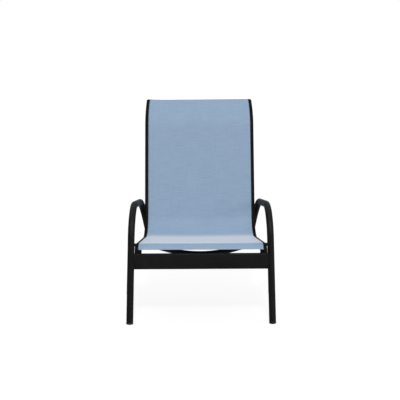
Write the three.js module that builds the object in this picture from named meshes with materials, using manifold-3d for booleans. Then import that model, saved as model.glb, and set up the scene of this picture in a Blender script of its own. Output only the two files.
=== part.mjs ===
// Sling patio chair with a high back, in millimetres: +Z up, +Y towards the back, feet on z = 0.
// Two bent arm tubes, two rear legs and three bars make the base. Two grooved rails carry the sling,
// and three bowed spreaders hold the rails apart.
import * as THREE from "three";
import { mergeVertices } from "three/addons/utils/BufferGeometryUtils.js";
import Module from "manifold-3d";

const wasm = await Module();
wasm.setup();

// Base tubes
const legTubeDiameter = 31.75;
const legTubeWall = 2;
const rearTubeDiameter = 25.4;
const frontFootHalfSpacing = 327;
const armFrontCorner = { x: 312.8, y: 43.5, z: 540.8 };
const armRearCorner = { x: 291, y: 590, z: 471.9 };
const armReturnBend = { x: 249, y: 560 };
const armFrontBendRadius = 144;
const armRearBendRadius = 101;
const armReturnBendRadius = 72;
const armReturnFall = 8.4;
const armEndSetback = 49;
const rearLegCorner = { x: 344.3, y: 462 };
const rearFoot = { x: 359.8, y: 575 };
const rearLegBendRadius = 85;

// Bars between the sides
const frontBarY = 23.5;
const frontBarTop = 323.4;
const frontBarHeight = 70;
const frontBarDepth = 25.4;
const barWall = 2;
const barCornerRadius = 3;
const rearBarY = 310;
const rearBarHeight = 12.7;
const rearBarDepth = 38.1;
const stretcherHeight = 167.6;
const stretcherDiameter = 25.4;
const stretcherWall = 1.6;

// Sling rails: the outline across a rail, and its route seen from the side
const railWidth = 31.75;
const railHeight = 25.4;
const railCornerRadius = 7;
const railWall = 2;
const grooveMouth = 4;
const grooveLip = 2.4;
const grooveBoreDiameter = 9.4;
const grooveWeb = 1.4;
const grooveOffset = 2;
const railSideGap = 0.4;
const railTaper = 29.4;
const railFrontRise = 32.8;
const railFrontStraight = 1;
const seatSlopeDegrees = 6.1;
const seatCornerY = 474;
const seatBendRadius = 130;
const backReclineDegrees = 19;
const headRise = 587;
const headTurnDegrees = 32;
const headBendRadius = 200;
const headRun = 100;
const headToeIn = 5.3;

// Sling, its hems and the rods in them
const slingThickness = 1.2;
const hemBeadDiameter = 8.2;
const hemStripThickness = 1.8;
const splineDiameter = 5;
const splineClearance = 0.4;
const slingLift = 0.4;
const slingSag = 4;
const slingFrontInset = 11.7;
const slingTopInset = 0.5;
const splineInset = 0.2;

// Spreaders
const spreaderDiameter = 25.4;
const spreaderWall = 1.6;
const seatSpreaderY = 276;
const seatSpreaderBow = 54;
const lowerSpreaderRise = 207.5;
const upperSpreaderRise = 520;
const backSpreaderBow = 34;
const spreaderPlugLength = 20;
const spreaderTrim = 60;

// Caps, plugs and glides
const plugClearance = 0.4;
const plugLength = 22;
const glideFlare = 0.5;
const glideCollar = 9;
const glideRound = 4;
const glideStem = 24;
const armPlugFlange = 2.5;
const railFootFlange = 3;
const railCapHeight = 8.4;
const railPlugDepth = 10;
const saddleWidth = 20;
const saddleDepth = 22;
const saddleCrown = 2;

// Fasteners
const boltDiameter = 6.35;
const boltClearance = 0.5;
const boltHeadDiameter = 13;
const boltHeadHeight = 3.6;
const flatBoltHeadDiameter = 10;
const washerDiameter = 16;
const washerThickness = 1.5;
const armBoltInset = 24;
const frontBoltThread = 9;
const rearBoltThread = 9;
const screwDiameter = 4.8;
const screwHeadDiameter = 8.2;
const screwPlugDepth = 14;

// Gap between neighbouring pieces, and how far a cutter runs past what it cuts
const contactGap = 0.3;
const cutOverrun = 30;

// How finely round shapes are divided
const tubeSides = 16;
const boreSides = 8;
const smallSides = 10;
const bendStepDegrees = 14;
const spreaderRings = 10;
const edgeArcSteps = 2;
const grooveArcSteps = 8;
const beadSides = 6;
const domeShares = [
  { rise: 0, spread: 1 },
  { rise: 0.35, spread: 0.97 },
  { rise: 0.65, spread: 0.88 },
  { rise: 0.87, spread: 0.76 },
  { rise: 1, spread: 0.62 },
];
const sagStepShares = [1, 0.66, 0.33, 0, -0.33, -0.66, -1];

const legRadius = legTubeDiameter / 2;
const legBore = legRadius - legTubeWall;
const rearRadius = rearTubeDiameter / 2;
const rearBore = rearRadius - legTubeWall;
const seatSlope = THREE.MathUtils.degToRad(seatSlopeDegrees);
const recline = THREE.MathUtils.degToRad(backReclineDegrees);
const headLean = THREE.MathUtils.degToRad(backReclineDegrees + headTurnDegrees);
const across = new THREE.Vector3(1, 0, 0);
const upward = new THREE.Vector3(0, 0, 1);

const finishes = {
  powderCoat: { color: 0x1b1b1d, roughness: 0.55, metalness: 0.1 },
  railCoat: { color: 0x19191b, roughness: 0.5, metalness: 0.1 },
  sling: { color: 0x92a8c2, roughness: 0.8, metalness: 0 },
  moulded: { color: 0x121213, roughness: 0.7, metalness: 0 },
  fastener: { color: 0x2a2a2c, roughness: 0.35, metalness: 0.9 },
  spline: { color: 0x2f3134, roughness: 0.6, metalness: 0 },
};

function station(point, tangent) {
  return { point: new THREE.Vector3(point.x, point.y, point.z), tangent: tangent.clone().normalize() };
}

// The stations round one bend, from where it leaves one straight to where it meets the next.
function bendStations(before, corner, after, radius) {
  const incoming = corner.clone().sub(before).normalize();
  const outgoing = after.clone().sub(corner).normalize();
  const turn = incoming.angleTo(outgoing);
  const axis = incoming.clone().cross(outgoing).normalize();
  const start = corner.clone().addScaledVector(incoming, -radius * Math.tan(turn / 2));
  const inward = axis.clone().cross(incoming);
  const centre = start.clone().addScaledVector(inward, radius);
  const steps = Math.max(1, Math.ceil(THREE.MathUtils.radToDeg(turn) / bendStepDegrees));
  return Array.from({ length: steps + 1 }, (_, k) => {
    const angle = (turn * k) / steps;
    const spoke = inward.clone().multiplyScalar(-radius).applyAxisAngle(axis, angle);
    return station(centre.clone().add(spoke), incoming.clone().applyAxisAngle(axis, angle));
  });
}

// Straight stretches and round bends, with stations only at the ends and round the bends.
function bentStations(corners, radii) {
  const points = corners.map((c) => new THREE.Vector3(c.x, c.y, c.z));
  const last = points.length - 1;
  return [
    station(points[0], points[1].clone().sub(points[0])),
    ...radii.flatMap((radius, i) => bendStations(points[i], points[i + 1], points[i + 2], radius)),
    station(points[last], points[last].clone().sub(points[last - 1])),
  ];
}

// A route through stations. With a lateral direction given, every ring keeps it, so a profile
// doesn't roll; otherwise the rings turn as little as they can.
class Run extends THREE.Curve {
  constructor(stations, lateral = null) {
    super();
    this.stations = stations;
    const normals = [];
    const binormals = [];
    let normal = lateral ? lateral.clone() : upward.clone();
    if (Math.abs(normal.dot(stations[0].tangent)) > Math.SQRT1_2) normal = across.clone();
    for (const { tangent } of stations) {
      if (!lateral) normal.addScaledVector(tangent, -normal.dot(tangent)).normalize();
      normals.push(normal.clone());
      binormals.push(tangent.clone().cross(normal).normalize());
    }
    this.frames = { tangents: stations.map((s) => s.tangent), normals, binormals };
  }

  getPoint(share) {
    const last = this.stations.length - 1;
    const index = Math.min(Math.floor(share * last), last - 1);
    return this.stations[index].point.clone().lerp(this.stations[index + 1].point, share * last - index);
  }

  getSpacedPoints() {
    return this.stations.map((s) => s.point.clone());
  }

  computeFrenetFrames() {
    return this.frames;
  }
}

// Points of a circular arc in a plane, both ends included.
function arcPoints(centreX, centreY, radius, from, to, steps) {
  return Array.from({ length: steps + 1 }, (_, k) => {
    const angle = from + ((to - from) * k) / steps;
    return new THREE.Vector2(centreX + radius * Math.cos(angle), centreY + radius * Math.sin(angle));
  });
}

function circle(radius, sides, centreX = 0, centreY = 0) {
  return arcPoints(centreX, centreY, radius, 0, 2 * Math.PI, sides).slice(0, sides);
}

function roundedRectangle(width, height, radius) {
  const x = width / 2 - radius;
  const y = height / 2 - radius;
  const quarter = Math.PI / 2;
  return [
    ...arcPoints(x, -y, radius, -quarter, 0, edgeArcSteps),
    ...arcPoints(x, y, radius, 0, quarter, edgeArcSteps),
    ...arcPoints(-x, y, radius, quarter, 2 * quarter, edgeArcSteps),
    ...arcPoints(-x, -y, radius, 2 * quarter, 3 * quarter, edgeArcSteps),
  ];
}

function outlineShape(points, ...holes) {
  const shape = new THREE.Shape(points);
  shape.holes = holes.map((hole) => new THREE.Path(hole));
  return shape;
}

function along(shape, run) {
  return new THREE.ExtrudeGeometry(shape, {
    steps: run.stations.length - 1,
    extrudePath: run,
    bevelEnabled: false,
  });
}

// A prism of the shape, its length along +Z and centred on the origin.
function prism(shape, length) {
  const geometry = new THREE.ExtrudeGeometry(shape, { depth: length, bevelEnabled: false });
  return geometry.translate(0, 0, -length / 2);
}

// Turns a geometry modelled along +Z so that it runs from one point towards another.
function aim(geometry, from, towards) {
  const direction = towards.clone().sub(from).normalize();
  const turn = new THREE.Quaternion().setFromUnitVectors(upward, direction);
  return geometry.applyQuaternion(turn).translate(from.x, from.y, from.z);
}

// A closed round body between two points.
function rod(from, to, radius, sides = smallSides) {
  const length = from.distanceTo(to);
  const geometry = prism(outlineShape(circle(radius, sides)), length).translate(0, 0, length / 2);
  return aim(geometry, from, to);
}

function toSolid(geometry) {
  const bare = new THREE.BufferGeometry();
  bare.setAttribute("position", geometry.getAttribute("position"));
  if (geometry.index) bare.setIndex(geometry.index);
  const merged = mergeVertices(bare, contactGap / 1000);
  return new wasm.Manifold(
    new wasm.Mesh({
      numProp: 3,
      vertProperties: new Float32Array(merged.getAttribute("position").array),
      triVerts: new Uint32Array(merged.index.array),
    }),
  );
}

function toGeometry(solid) {
  const mesh = solid.getMesh();
  const geometry = new THREE.BufferGeometry();
  geometry.setAttribute("position", new THREE.BufferAttribute(new Float32Array(mesh.vertProperties), 3));
  geometry.setIndex(new THREE.BufferAttribute(new Uint32Array(mesh.triVerts), 1));
  geometry.computeVertexNormals();
  return geometry;
}

function cut(geometry, ...cutters) {
  return toGeometry(cutters.reduce((solid, cutter) => solid.subtract(toSolid(cutter)), toSolid(geometry)));
}

function join(...geometries) {
  return toGeometry(geometries.map(toSolid).reduce((sum, solid) => sum.add(solid)));
}

function common(geometry, cutter) {
  return toGeometry(toSolid(geometry).intersect(toSolid(cutter)));
}

// Side faces between rings of points, and flat ends cut as the first and last rings show.
function loft(rings, flatOutline, flatHoles) {
  const positions = rings.flatMap((ring) => ring.flatMap((p) => [p.x, p.y, p.z]));
  const ringSize = rings[0].length;
  const loops = [];
  let first = 0;
  for (const loop of [flatOutline, ...flatHoles]) {
    loops.push({ first, count: loop.length });
    first += loop.length;
  }
  const index = [];
  for (let r = 0; r + 1 < rings.length; r++) {
    for (const { first: start, count } of loops) {
      for (let k = 0; k < count; k++) {
        const a = r * ringSize + start + k;
        const b = r * ringSize + start + ((k + 1) % count);
        index.push(a, b, b + ringSize, a, b + ringSize, a + ringSize);
      }
    }
  }
  const lastRing = (rings.length - 1) * ringSize;
  for (const [a, b, c] of THREE.ShapeUtils.triangulateShape(flatOutline, flatHoles)) {
    index.push(a, c, b, lastRing + a, lastRing + b, lastRing + c);
  }
  const geometry = new THREE.BufferGeometry();
  geometry.setAttribute("position", new THREE.Float32BufferAttribute(positions, 3));
  geometry.setIndex(index);
  return geometry;
}

const chamberTop = railHeight / 2 - grooveLip - grooveBoreDiameter - grooveWeb;
const chamberBottom = -railHeight / 2 + railWall;
const chamberWidth = railWidth - 2 * railWall;
const chamberMiddle = (chamberTop + chamberBottom) / 2;
const grooveCentre = railHeight / 2 - grooveLip - grooveBoreDiameter / 2;
const frontBoltY = frontBarY - chamberMiddle;

// The front leg, for the side at +X
const frontFoot = new THREE.Vector3(frontFootHalfSpacing, 0, 0);
const armFront = new THREE.Vector3(armFrontCorner.x, armFrontCorner.y, armFrontCorner.z);
const frontLegDirection = armFront.clone().sub(frontFoot).normalize();
function frontLegAt(height) {
  return frontFoot.clone().addScaledVector(frontLegDirection, height / frontLegDirection.z);
}

// Rail route. It stands on the front bar close to the leg. The seat part falls towards the back and
// narrows, then the back rises and leans.
const railFootZ = frontBarTop + railFootFlange + 2 * contactGap;
const railFrontCornerHeight = frontBarTop + railFrontRise;
const railFrontHalfSpacing = frontLegAt(railFrontCornerHeight).x - legRadius - railSideGap - railWidth / 2;
const railBackHalfSpacing = railFrontHalfSpacing - railTaper;
const frontBoltX = railFrontHalfSpacing;
const railFrontTurn = Math.PI / 2 + seatSlope;
const railFrontBendRadius =
  (railFrontCornerHeight - railFootZ - railFrontStraight) / Math.tan(railFrontTurn / 2);
const seatCornerZ = railFrontCornerHeight - Math.tan(seatSlope) * (seatCornerY - frontBarY);
const headCornerHeight = seatCornerZ + headRise;
const headCornerY = seatCornerY + headRise * Math.tan(recline);
const leftward = across.clone().negate();
const railStations = bentStations(
  [
    { x: railFrontHalfSpacing, y: frontBarY, z: railFootZ },
    { x: railFrontHalfSpacing, y: frontBarY, z: railFrontCornerHeight },
    { x: railBackHalfSpacing, y: seatCornerY, z: seatCornerZ },
    { x: railBackHalfSpacing, y: headCornerY, z: headCornerHeight },
    {
      x: railBackHalfSpacing - headToeIn,
      y: headCornerY + headRun * Math.sin(headLean),
      z: headCornerHeight + headRun * Math.cos(headLean),
    },
  ],
  [railFrontBendRadius, seatBendRadius, headBendRadius],
);
const railLength = railStations.reduce(
  (sum, s, i) => sum + (i ? s.point.distanceTo(railStations[i - 1].point) : 0),
  0,
);

// The rail's centre line at a distance from the front or a height on the back.
function railPlaceWhere(axis, value, fromEnd) {
  const stations = fromEnd ? [...railStations].reverse() : railStations.slice(2);
  for (let i = 0; i + 1 < stations.length; i++) {
    const a = stations[i];
    const b = stations[i + 1];
    if ((a.point[axis] - value) * (b.point[axis] - value) <= 0) {
      const share = (value - a.point[axis]) / (b.point[axis] - a.point[axis]);
      return {
        point: a.point.clone().lerp(b.point, share),
        tangent: a.tangent.clone().lerp(b.tangent, share).normalize(),
      };
    }
  }
  return { point: stations[0].point.clone(), tangent: stations[0].tangent.clone() };
}

// The rail's centre line on the back, at a height over the seat's rear corner.
function railOnBack(rise) {
  return railPlaceWhere("z", seatCornerZ + rise, true);
}

// The direction out of the rail's grooved face, in the side view.
function faceNormal(tangent) {
  return new THREE.Vector3(0, -tangent.z, tangent.y).normalize();
}

// The other base routes, for the side at +X
const armEndY = rearBarY + rearBarDepth / 2 + armEndSetback;
const armEndRail = railPlaceWhere("y", armEndY, false);
const railUnderside = railHeight / 2 / Math.cos(seatSlope);
const armEnd = {
  x: armEndRail.point.x,
  y: armEndY,
  z: armEndRail.point.z - railUnderside - saddleCrown - 2 * contactGap - legRadius / Math.cos(seatSlope),
};
const armReturnCorner = { ...armReturnBend, z: armEnd.z - armReturnFall };
const armTubeStart = frontFoot.clone().addScaledVector(frontLegDirection, glideCollar + contactGap);
const armStations = bentStations(
  [armTubeStart, armFrontCorner, armRearCorner, armReturnCorner, armEnd],
  [armFrontBendRadius, armRearBendRadius, armReturnBendRadius],
);

const rearBarRail = railPlaceWhere("y", rearBarY, false);
const rearBarZ = rearBarRail.point.z - railUnderside - contactGap - rearBarHeight / 2 / Math.cos(seatSlope);
const sideRunZ = (y) => rearBarZ + Math.tan(seatSlope) * (rearBarY - y);
const rearCorner = new THREE.Vector3(rearLegCorner.x, rearLegCorner.y, sideRunZ(rearLegCorner.y));
const sideRunStart = frontLegAt(sideRunZ(frontBarY));
const rearFootPoint = new THREE.Vector3(rearFoot.x, rearFoot.y, 0);
const rearLegDirection = rearCorner.clone().sub(rearFootPoint).normalize();
const rearTubeEnd = rearFootPoint.clone().addScaledVector(rearLegDirection, glideCollar + contactGap);
const rearLegStations = bentStations([sideRunStart, rearCorner, rearTubeEnd], [rearLegBendRadius]);
const sideRunDirection = rearCorner.clone().sub(sideRunStart).normalize();
const rearLegAt = (height) =>
  rearFootPoint.clone().addScaledVector(rearLegDirection, height / rearLegDirection.z);

const armTubeShape = outlineShape(circle(legRadius, tubeSides), circle(legBore, boreSides));
const rearTubeShape = outlineShape(circle(rearRadius, tubeSides), circle(rearBore, boreSides));
const boltHole = boltDiameter / 2 + boltClearance;
const screwHole = screwDiameter / 2 + boltClearance;
const flatBoltHeadHeight = (flatBoltHeadDiameter - boltDiameter) / 2;
const screwHeadHeight = (screwHeadDiameter - screwDiameter) / 2;

// A cutter round a leg: a straight body a little wider than the tube, so that what meets it is coped.
function copeRound(point, direction, radius) {
  const reach = frontBarHeight + cutOverrun;
  const from = point.clone().addScaledVector(direction, -reach);
  const to = point.clone().addScaledVector(direction, reach);
  return rod(from, to, radius + contactGap, tubeSides);
}

// A drill through what lies between two heights.
function drillUp(x, y, fromZ, toZ, radius) {
  return rod(new THREE.Vector3(x, y, fromZ), new THREE.Vector3(x, y, toZ), radius);
}

const armBoltY = armEndY + armBoltInset;
const armBoltRail = railPlaceWhere("y", armBoltY, false);
const armBoltX = armBoltRail.point.x;
const armEndDirection = new THREE.Vector3(
  armReturnCorner.x - armEnd.x,
  armReturnCorner.y - armEnd.y,
  armReturnCorner.z - armEnd.z,
).normalize();
const armEndPoint = new THREE.Vector3(armEnd.x, armEnd.y, armEnd.z);
const armAtBolt = armEndPoint.clone().addScaledVector(armEndDirection, armBoltInset / armEndDirection.y);
const armBoltUnderside = armBoltRail.point.z - railHeight / 2 / armBoltRail.tangent.y;
const rearBoltX = rearBarRail.point.x;

function armTube() {
  const hole = drillUp(armBoltX, armBoltY, armAtBolt.z - legTubeDiameter, armBoltUnderside, boltHole);
  return cut(along(armTubeShape, new Run(armStations)), hole);
}

function rearLeg() {
  const tube = along(rearTubeShape, new Run(rearLegStations));
  return cut(tube, copeRound(sideRunStart, frontLegDirection, legRadius));
}

// A glide: a collar below the tube and a stem inside it, cut level with the floor.
function glide(foot, direction, tubeRadius) {
  const stem = (tubeRadius - legTubeWall) * Math.cos(Math.PI / boreSides) - plugClearance;
  const collar = tubeRadius + glideFlare;
  const sunk = 2 * collar;
  const profile = [
    new THREE.Vector2(0, -sunk),
    new THREE.Vector2(collar - glideRound, -sunk),
    new THREE.Vector2(collar - glideRound, 0),
    new THREE.Vector2(collar, glideRound),
    new THREE.Vector2(collar, glideCollar - glideRound / 2),
    new THREE.Vector2(collar - glideRound / 2, glideCollar),
    new THREE.Vector2(stem, glideCollar),
    new THREE.Vector2(stem, glideCollar + glideStem),
    new THREE.Vector2(0, glideCollar + glideStem),
  ];
  const body = new THREE.LatheGeometry(profile, tubeSides).rotateX(Math.PI / 2);
  const placed = aim(body, foot, foot.clone().add(direction));
  const reach = 2 * sunk + glideStem;
  const above = new THREE.BoxGeometry(2 * reach, 2 * reach, reach).translate(foot.x, foot.y, reach / 2);
  return common(placed, above);
}

// A hollow bar of rounded rectangular section along X, coped at both ends to round members.
function crossBar(place, height, depth, tilt, end, ...drills) {
  const inner = roundedRectangle(depth - 2 * barWall, height - 2 * barWall, barCornerRadius / 2);
  const shape = outlineShape(roundedRectangle(depth, height, barCornerRadius), inner);
  // The shape's x becomes the bar's depth and its y the bar's height.
  const geometry = prism(shape, 2 * end.point.x).rotateY(Math.PI / 2).rotateX(Math.PI / 2);
  geometry.rotateX(tilt).translate(0, place.y, place.z);
  return cut(geometry, ...copedEnds(end), ...drills);
}

// Cutters for both ends of a bar that meets the same member on each side.
function copedEnds({ point, direction, radius }) {
  const mirrored = (v) => new THREE.Vector3(-v.x, v.y, v.z);
  return [copeRound(point, direction, radius), copeRound(mirrored(point), mirrored(direction), radius)];
}

const frontBarZ = frontBarTop - frontBarHeight / 2;
const frontBarBottom = frontBarTop - frontBarHeight;

// A cutter for a flat head, along +Z: it opens downwards at 45 degrees through the origin's plane.
function countersink(holeRadius, headHeight) {
  const below = 2 * contactGap;
  const profile = [
    new THREE.Vector2(0, -below),
    new THREE.Vector2(holeRadius + headHeight + below, -below),
    new THREE.Vector2(holeRadius, headHeight),
    new THREE.Vector2(0, headHeight),
  ];
  return new THREE.LatheGeometry(profile, smallSides).rotateX(Math.PI / 2);
}

function bothSides(x, makeCutter) {
  return [makeCutter(x), makeCutter(-x)];
}

function frontCrossbar() {
  const end = { point: frontLegAt(frontBarZ), direction: frontLegDirection, radius: legRadius };
  const drills = bothSides(frontBoltX, (x) =>
    drillUp(x, frontBoltY, frontBarTop - frontBarHeight - cutOverrun, frontBarTop + cutOverrun, boltHole),
  );
  const sinks = bothSides(frontBoltX, (x) =>
    countersink(boltHole, flatBoltHeadHeight).translate(x, frontBoltY, frontBarBottom),
  );
  const place = { y: frontBarY, z: frontBarZ };
  return crossBar(place, frontBarHeight, frontBarDepth, 0, end, ...drills, ...sinks);
}

function rearCrossbar() {
  const runLength = (rearBarY - sideRunStart.y) / sideRunDirection.y;
  const point = sideRunStart.clone().addScaledVector(sideRunDirection, runLength);
  const end = { point, direction: sideRunDirection, radius: rearRadius };
  const drills = bothSides(rearBoltX, (x) =>
    drillUp(x, rearBarY, rearBarZ - cutOverrun, rearBarZ + cutOverrun, boltHole),
  );
  const place = { y: rearBarY, z: rearBarZ };
  return crossBar(place, rearBarHeight, rearBarDepth, -seatSlope, end, ...drills);
}

function rearStretcher() {
  const end = rearLegAt(stretcherHeight);
  const radius = stretcherDiameter / 2;
  const shape = outlineShape(circle(radius, tubeSides), circle(radius - stretcherWall, boreSides));
  const geometry = prism(shape, 2 * end.x).rotateY(Math.PI / 2).translate(0, end.y, end.z);
  return cut(geometry, ...copedEnds({ point: end, direction: rearLegDirection, radius: rearRadius }));
}

// Rail section: a rounded box with a hollow below and a round-bottomed groove in its top face, a
// little towards the chair's middle.
function railShape() {
  const x = railWidth / 2 - railCornerRadius;
  const y = railHeight / 2 - railCornerRadius;
  const quarter = Math.PI / 2;
  const bore = grooveBoreDiameter / 2;
  const mouth = grooveMouth / 2;
  const mouthTurn = Math.acos(mouth / bore);
  const outline = [
    ...arcPoints(-x, -y, railCornerRadius, 2 * quarter, 3 * quarter, edgeArcSteps),
    ...arcPoints(x, -y, railCornerRadius, -quarter, 0, edgeArcSteps),
    ...arcPoints(x, y, railCornerRadius, 0, quarter, edgeArcSteps),
    new THREE.Vector2(grooveOffset + mouth, railHeight / 2),
    ...arcPoints(grooveOffset, grooveCentre, bore, mouthTurn, -mouthTurn - 2 * quarter, grooveArcSteps),
    new THREE.Vector2(grooveOffset - mouth, railHeight / 2),
    ...arcPoints(-x, y, railCornerRadius, quarter, 2 * quarter, edgeArcSteps),
  ];
  const half = chamberWidth / 2;
  const chamber = [
    new THREE.Vector2(-half, chamberBottom + railWall),
    new THREE.Vector2(-half + railWall, chamberBottom),
    new THREE.Vector2(half - railWall, chamberBottom),
    new THREE.Vector2(half, chamberBottom + railWall),
    new THREE.Vector2(half, chamberTop),
    new THREE.Vector2(-half, chamberTop),
  ];
  return outlineShape(outline, chamber);
}

// Where each spreader meets the rails, and the way it bows.
const spreaderPlaces = [
  { name: "seat_spreader", rail: railPlaceWhere("y", seatSpreaderY, false), bow: seatSpreaderBow },
  { name: "lower_back_spreader", rail: railOnBack(lowerSpreaderRise), bow: backSpreaderBow },
  { name: "upper_back_spreader", rail: railOnBack(upperSpreaderRise), bow: backSpreaderBow },
];

function screwPoint(place) {
  return place.rail.point.clone().addScaledVector(faceNormal(place.rail.tangent), chamberMiddle);
}

// Where a spreader screw's head ends, level with the rail's outer face.
function screwHeadX(place) {
  const skew = Math.abs(place.rail.tangent.x) * screwHeadDiameter;
  return place.rail.point.x + railWidth / 2 - skew / 2;
}

function slingRail() {
  const screws = spreaderPlaces.flatMap((place) => {
    const at = screwPoint(place);
    const reach = across.clone().multiplyScalar(railWidth);
    const sink = countersink(screwHole, screwHeadHeight).rotateY(-Math.PI / 2);
    return [
      rod(at.clone().sub(reach), at.clone().add(reach), screwHole),
      sink.translate(screwHeadX(place), at.y, at.z),
    ];
  });
  const underDrills = [
    drillUp(armBoltX, armBoltY, armBoltUnderside - cutOverrun, armBoltUnderside + 2 * railWall, boltHole),
    drillUp(rearBoltX, rearBarY, rearBarZ, rearBarZ + rearBarHeight / 2 + 2 * railWall, boltHole),
  ];
  return cut(along(railShape(), new Run(railStations, leftward)), ...screws, ...underDrills);
}

// Sling section at one ring of the rail: hem beads in the grooves and the cloth between them.
function slingSection(railX, sag) {
  const halfSpacing = railX - grooveOffset;
  const bead = hemBeadDiameter / 2;
  const strip = hemStripThickness / 2;
  const top = railHeight / 2 + slingLift + slingThickness;
  const under = top - slingThickness;
  const clear = railX - railWidth / 2;
  const neck = Math.asin(strip / bead);
  const quarter = Math.PI / 2;
  const dip = (share) => -sag * (1 - share * share);
  const right = arcPoints(halfSpacing, grooveCentre, bead, -3 * quarter + neck, quarter - neck, beadSides);
  const left = arcPoints(-halfSpacing, grooveCentre, bead, quarter + neck, 5 * quarter - neck, beadSides);
  return [
    ...right,
    new THREE.Vector2(halfSpacing + strip, under),
    new THREE.Vector2(halfSpacing + strip - slingThickness / 2, top),
    ...sagStepShares.map((share) => new THREE.Vector2(clear * share, top + dip(share))),
    new THREE.Vector2(-halfSpacing - strip + slingThickness / 2, top),
    new THREE.Vector2(-halfSpacing - strip, under),
    ...left,
    new THREE.Vector2(-halfSpacing + strip, under),
    ...sagStepShares.map((share) => new THREE.Vector2(-clear * share, under + dip(share))),
    new THREE.Vector2(halfSpacing - strip, under),
  ];
}

// Points of the rail's route between two insets from its ends, with their directions.
function trimmedStations(frontInset, topInset) {
  const stations = railStations.map(({ point, tangent }) => station(point, tangent));
  const trim = (list, inset) => {
    let left = inset;
    while (list.length > 2 && list[0].point.distanceTo(list[1].point) <= left) {
      left -= list[0].point.distanceTo(list[1].point);
      list.shift();
    }
    const share = left / list[0].point.distanceTo(list[1].point);
    list[0].point.lerp(list[1].point, share);
    list[0].tangent.lerp(list[1].tangent, share).normalize();
    return list;
  };
  return trim(trim(stations, frontInset).reverse(), topInset).reverse();
}

// A block that follows the rail's hollow over the stations given, up to a place outside the rail's end.
function railBlock(inside, outer, atStart) {
  const half = chamberWidth / 2 - railWall;
  const low = chamberBottom + plugClearance;
  const high = chamberTop - plugClearance;
  const shape = outlineShape([
    new THREE.Vector2(-half, low),
    new THREE.Vector2(half, low),
    new THREE.Vector2(half, high),
    new THREE.Vector2(-half, high),
  ]);
  const stations = atStart ? [outer, ...inside] : [...inside, outer];
  return along(shape, new Run(stations, leftward));
}

function railFootPlug() {
  const inside = trimmedStations(0, railLength - railPlugDepth);
  const { point, tangent } = inside[0];
  const inner = station(point.clone().addScaledVector(tangent, -contactGap), tangent);
  const outer = station(inner.point.clone().addScaledVector(tangent, -railFootFlange), tangent);
  const plate = outlineShape(roundedRectangle(railWidth, railHeight, railCornerRadius));
  const plug = join(along(plate, new Run([outer, inner], leftward)), railBlock(inside, outer, true));
  return cut(plug, drillUp(frontBoltX, frontBoltY, frontBarTop, frontBarTop + cutOverrun, boltHole));
}

// The cap at a rail's top: a dome on the rail's outline and a block in its hollow.
function railTopCap() {
  const inside = trimmedStations(railLength - railPlugDepth, 0);
  const { point, tangent } = inside[inside.length - 1];
  const outline = roundedRectangle(railWidth, railHeight, railCornerRadius);
  const normal = tangent.clone().cross(leftward);
  const rings = domeShares.map(({ rise, spread }) =>
    outline.map((p) =>
      point
        .clone()
        .addScaledVector(tangent, contactGap + rise * railCapHeight)
        .addScaledVector(leftward, p.x * spread)
        .addScaledVector(normal, p.y * spread),
    ),
  );
  const outer = station(point.clone().addScaledVector(tangent, railCapHeight / 2), tangent);
  return join(loft(rings, outline, []), railBlock(inside, outer, false));
}

function sling() {
  const stations = trimmedStations(slingFrontInset, slingTopInset);
  const bore = splineDiameter / 2 + splineClearance;
  const last = stations.length - 1;
  const sections = stations.map(({ point, tangent }, i) => {
    const sag = slingSag * Math.sin((Math.PI * i) / last);
    const outline = slingSection(point.x, sag);
    const grooveX = point.x - grooveOffset;
    const holes = [grooveX, -grooveX].map((x) => circle(bore, beadSides, x, grooveCentre).reverse());
    return { point, normal: faceNormal(tangent), outline, holes };
  });
  const rings = sections.map(({ point, normal, outline, holes }) =>
    [...outline, ...holes.flat()].map(
      (p) => new THREE.Vector3(p.x, point.y + normal.y * p.y, point.z + normal.z * p.y),
    ),
  );
  return loft(rings.reverse(), sections[last].outline, sections[last].holes);
}

function spline() {
  const rings = trimmedStations(slingFrontInset - splineInset, slingTopInset - splineInset);
  const flat = circle(splineDiameter / 2, beadSides);
  const placed = rings.map(({ point, tangent }) => {
    const normal = faceNormal(tangent);
    return flat.map((p) => {
      const height = grooveCentre + p.y;
      const x = point.x - grooveOffset + p.x;
      return new THREE.Vector3(x, point.y + normal.y * height, point.z + normal.z * height);
    });
  });
  return loft(placed.reverse(), flat, []);
}

// The bowed line of a spreader, a little longer than the space between the rails.
function spreaderRoute(place) {
  const from = screwPoint(place);
  const half = place.rail.point.x - railWidth / 2;
  const away = faceNormal(place.rail.tangent).negate();
  const stretch = (half + spreaderTrim / 2) / half;
  const points = Array.from({ length: spreaderRings + 1 }, (_, k) => {
    const share = stretch * ((2 * k) / spreaderRings - 1);
    const point = new THREE.Vector3(half * share, from.y, from.z);
    return point.addScaledVector(away, place.bow * (1 - share * share));
  });
  const stations = points.map((point, k) => {
    const before = points[Math.max(k - 1, 0)];
    const after = points[Math.min(k + 1, spreaderRings)];
    return station(point, after.clone().sub(before));
  });
  return new Run(stations);
}

// The clear half length of a spreader, which allows for rails that aren't parallel on the seat.
function spreaderHalf(place) {
  const skew = Math.abs(place.rail.tangent.x / Math.hypot(place.rail.tangent.y, place.rail.tangent.z));
  return place.rail.point.x - railWidth / 2 - contactGap - (spreaderDiameter / 2) * skew;
}

function slab(fromX, toX, place) {
  const size = 4 * (place.bow + spreaderDiameter);
  const box = new THREE.BoxGeometry(toX - fromX, size, size);
  return box.translate((fromX + toX) / 2, place.rail.point.y, place.rail.point.z);
}

function spreader(place) {
  const radius = spreaderDiameter / 2;
  const shape = outlineShape(circle(radius, smallSides), circle(radius - spreaderWall, boreSides));
  const half = spreaderHalf(place);
  return common(along(shape, spreaderRoute(place)), slab(-half, half, place));
}

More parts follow.
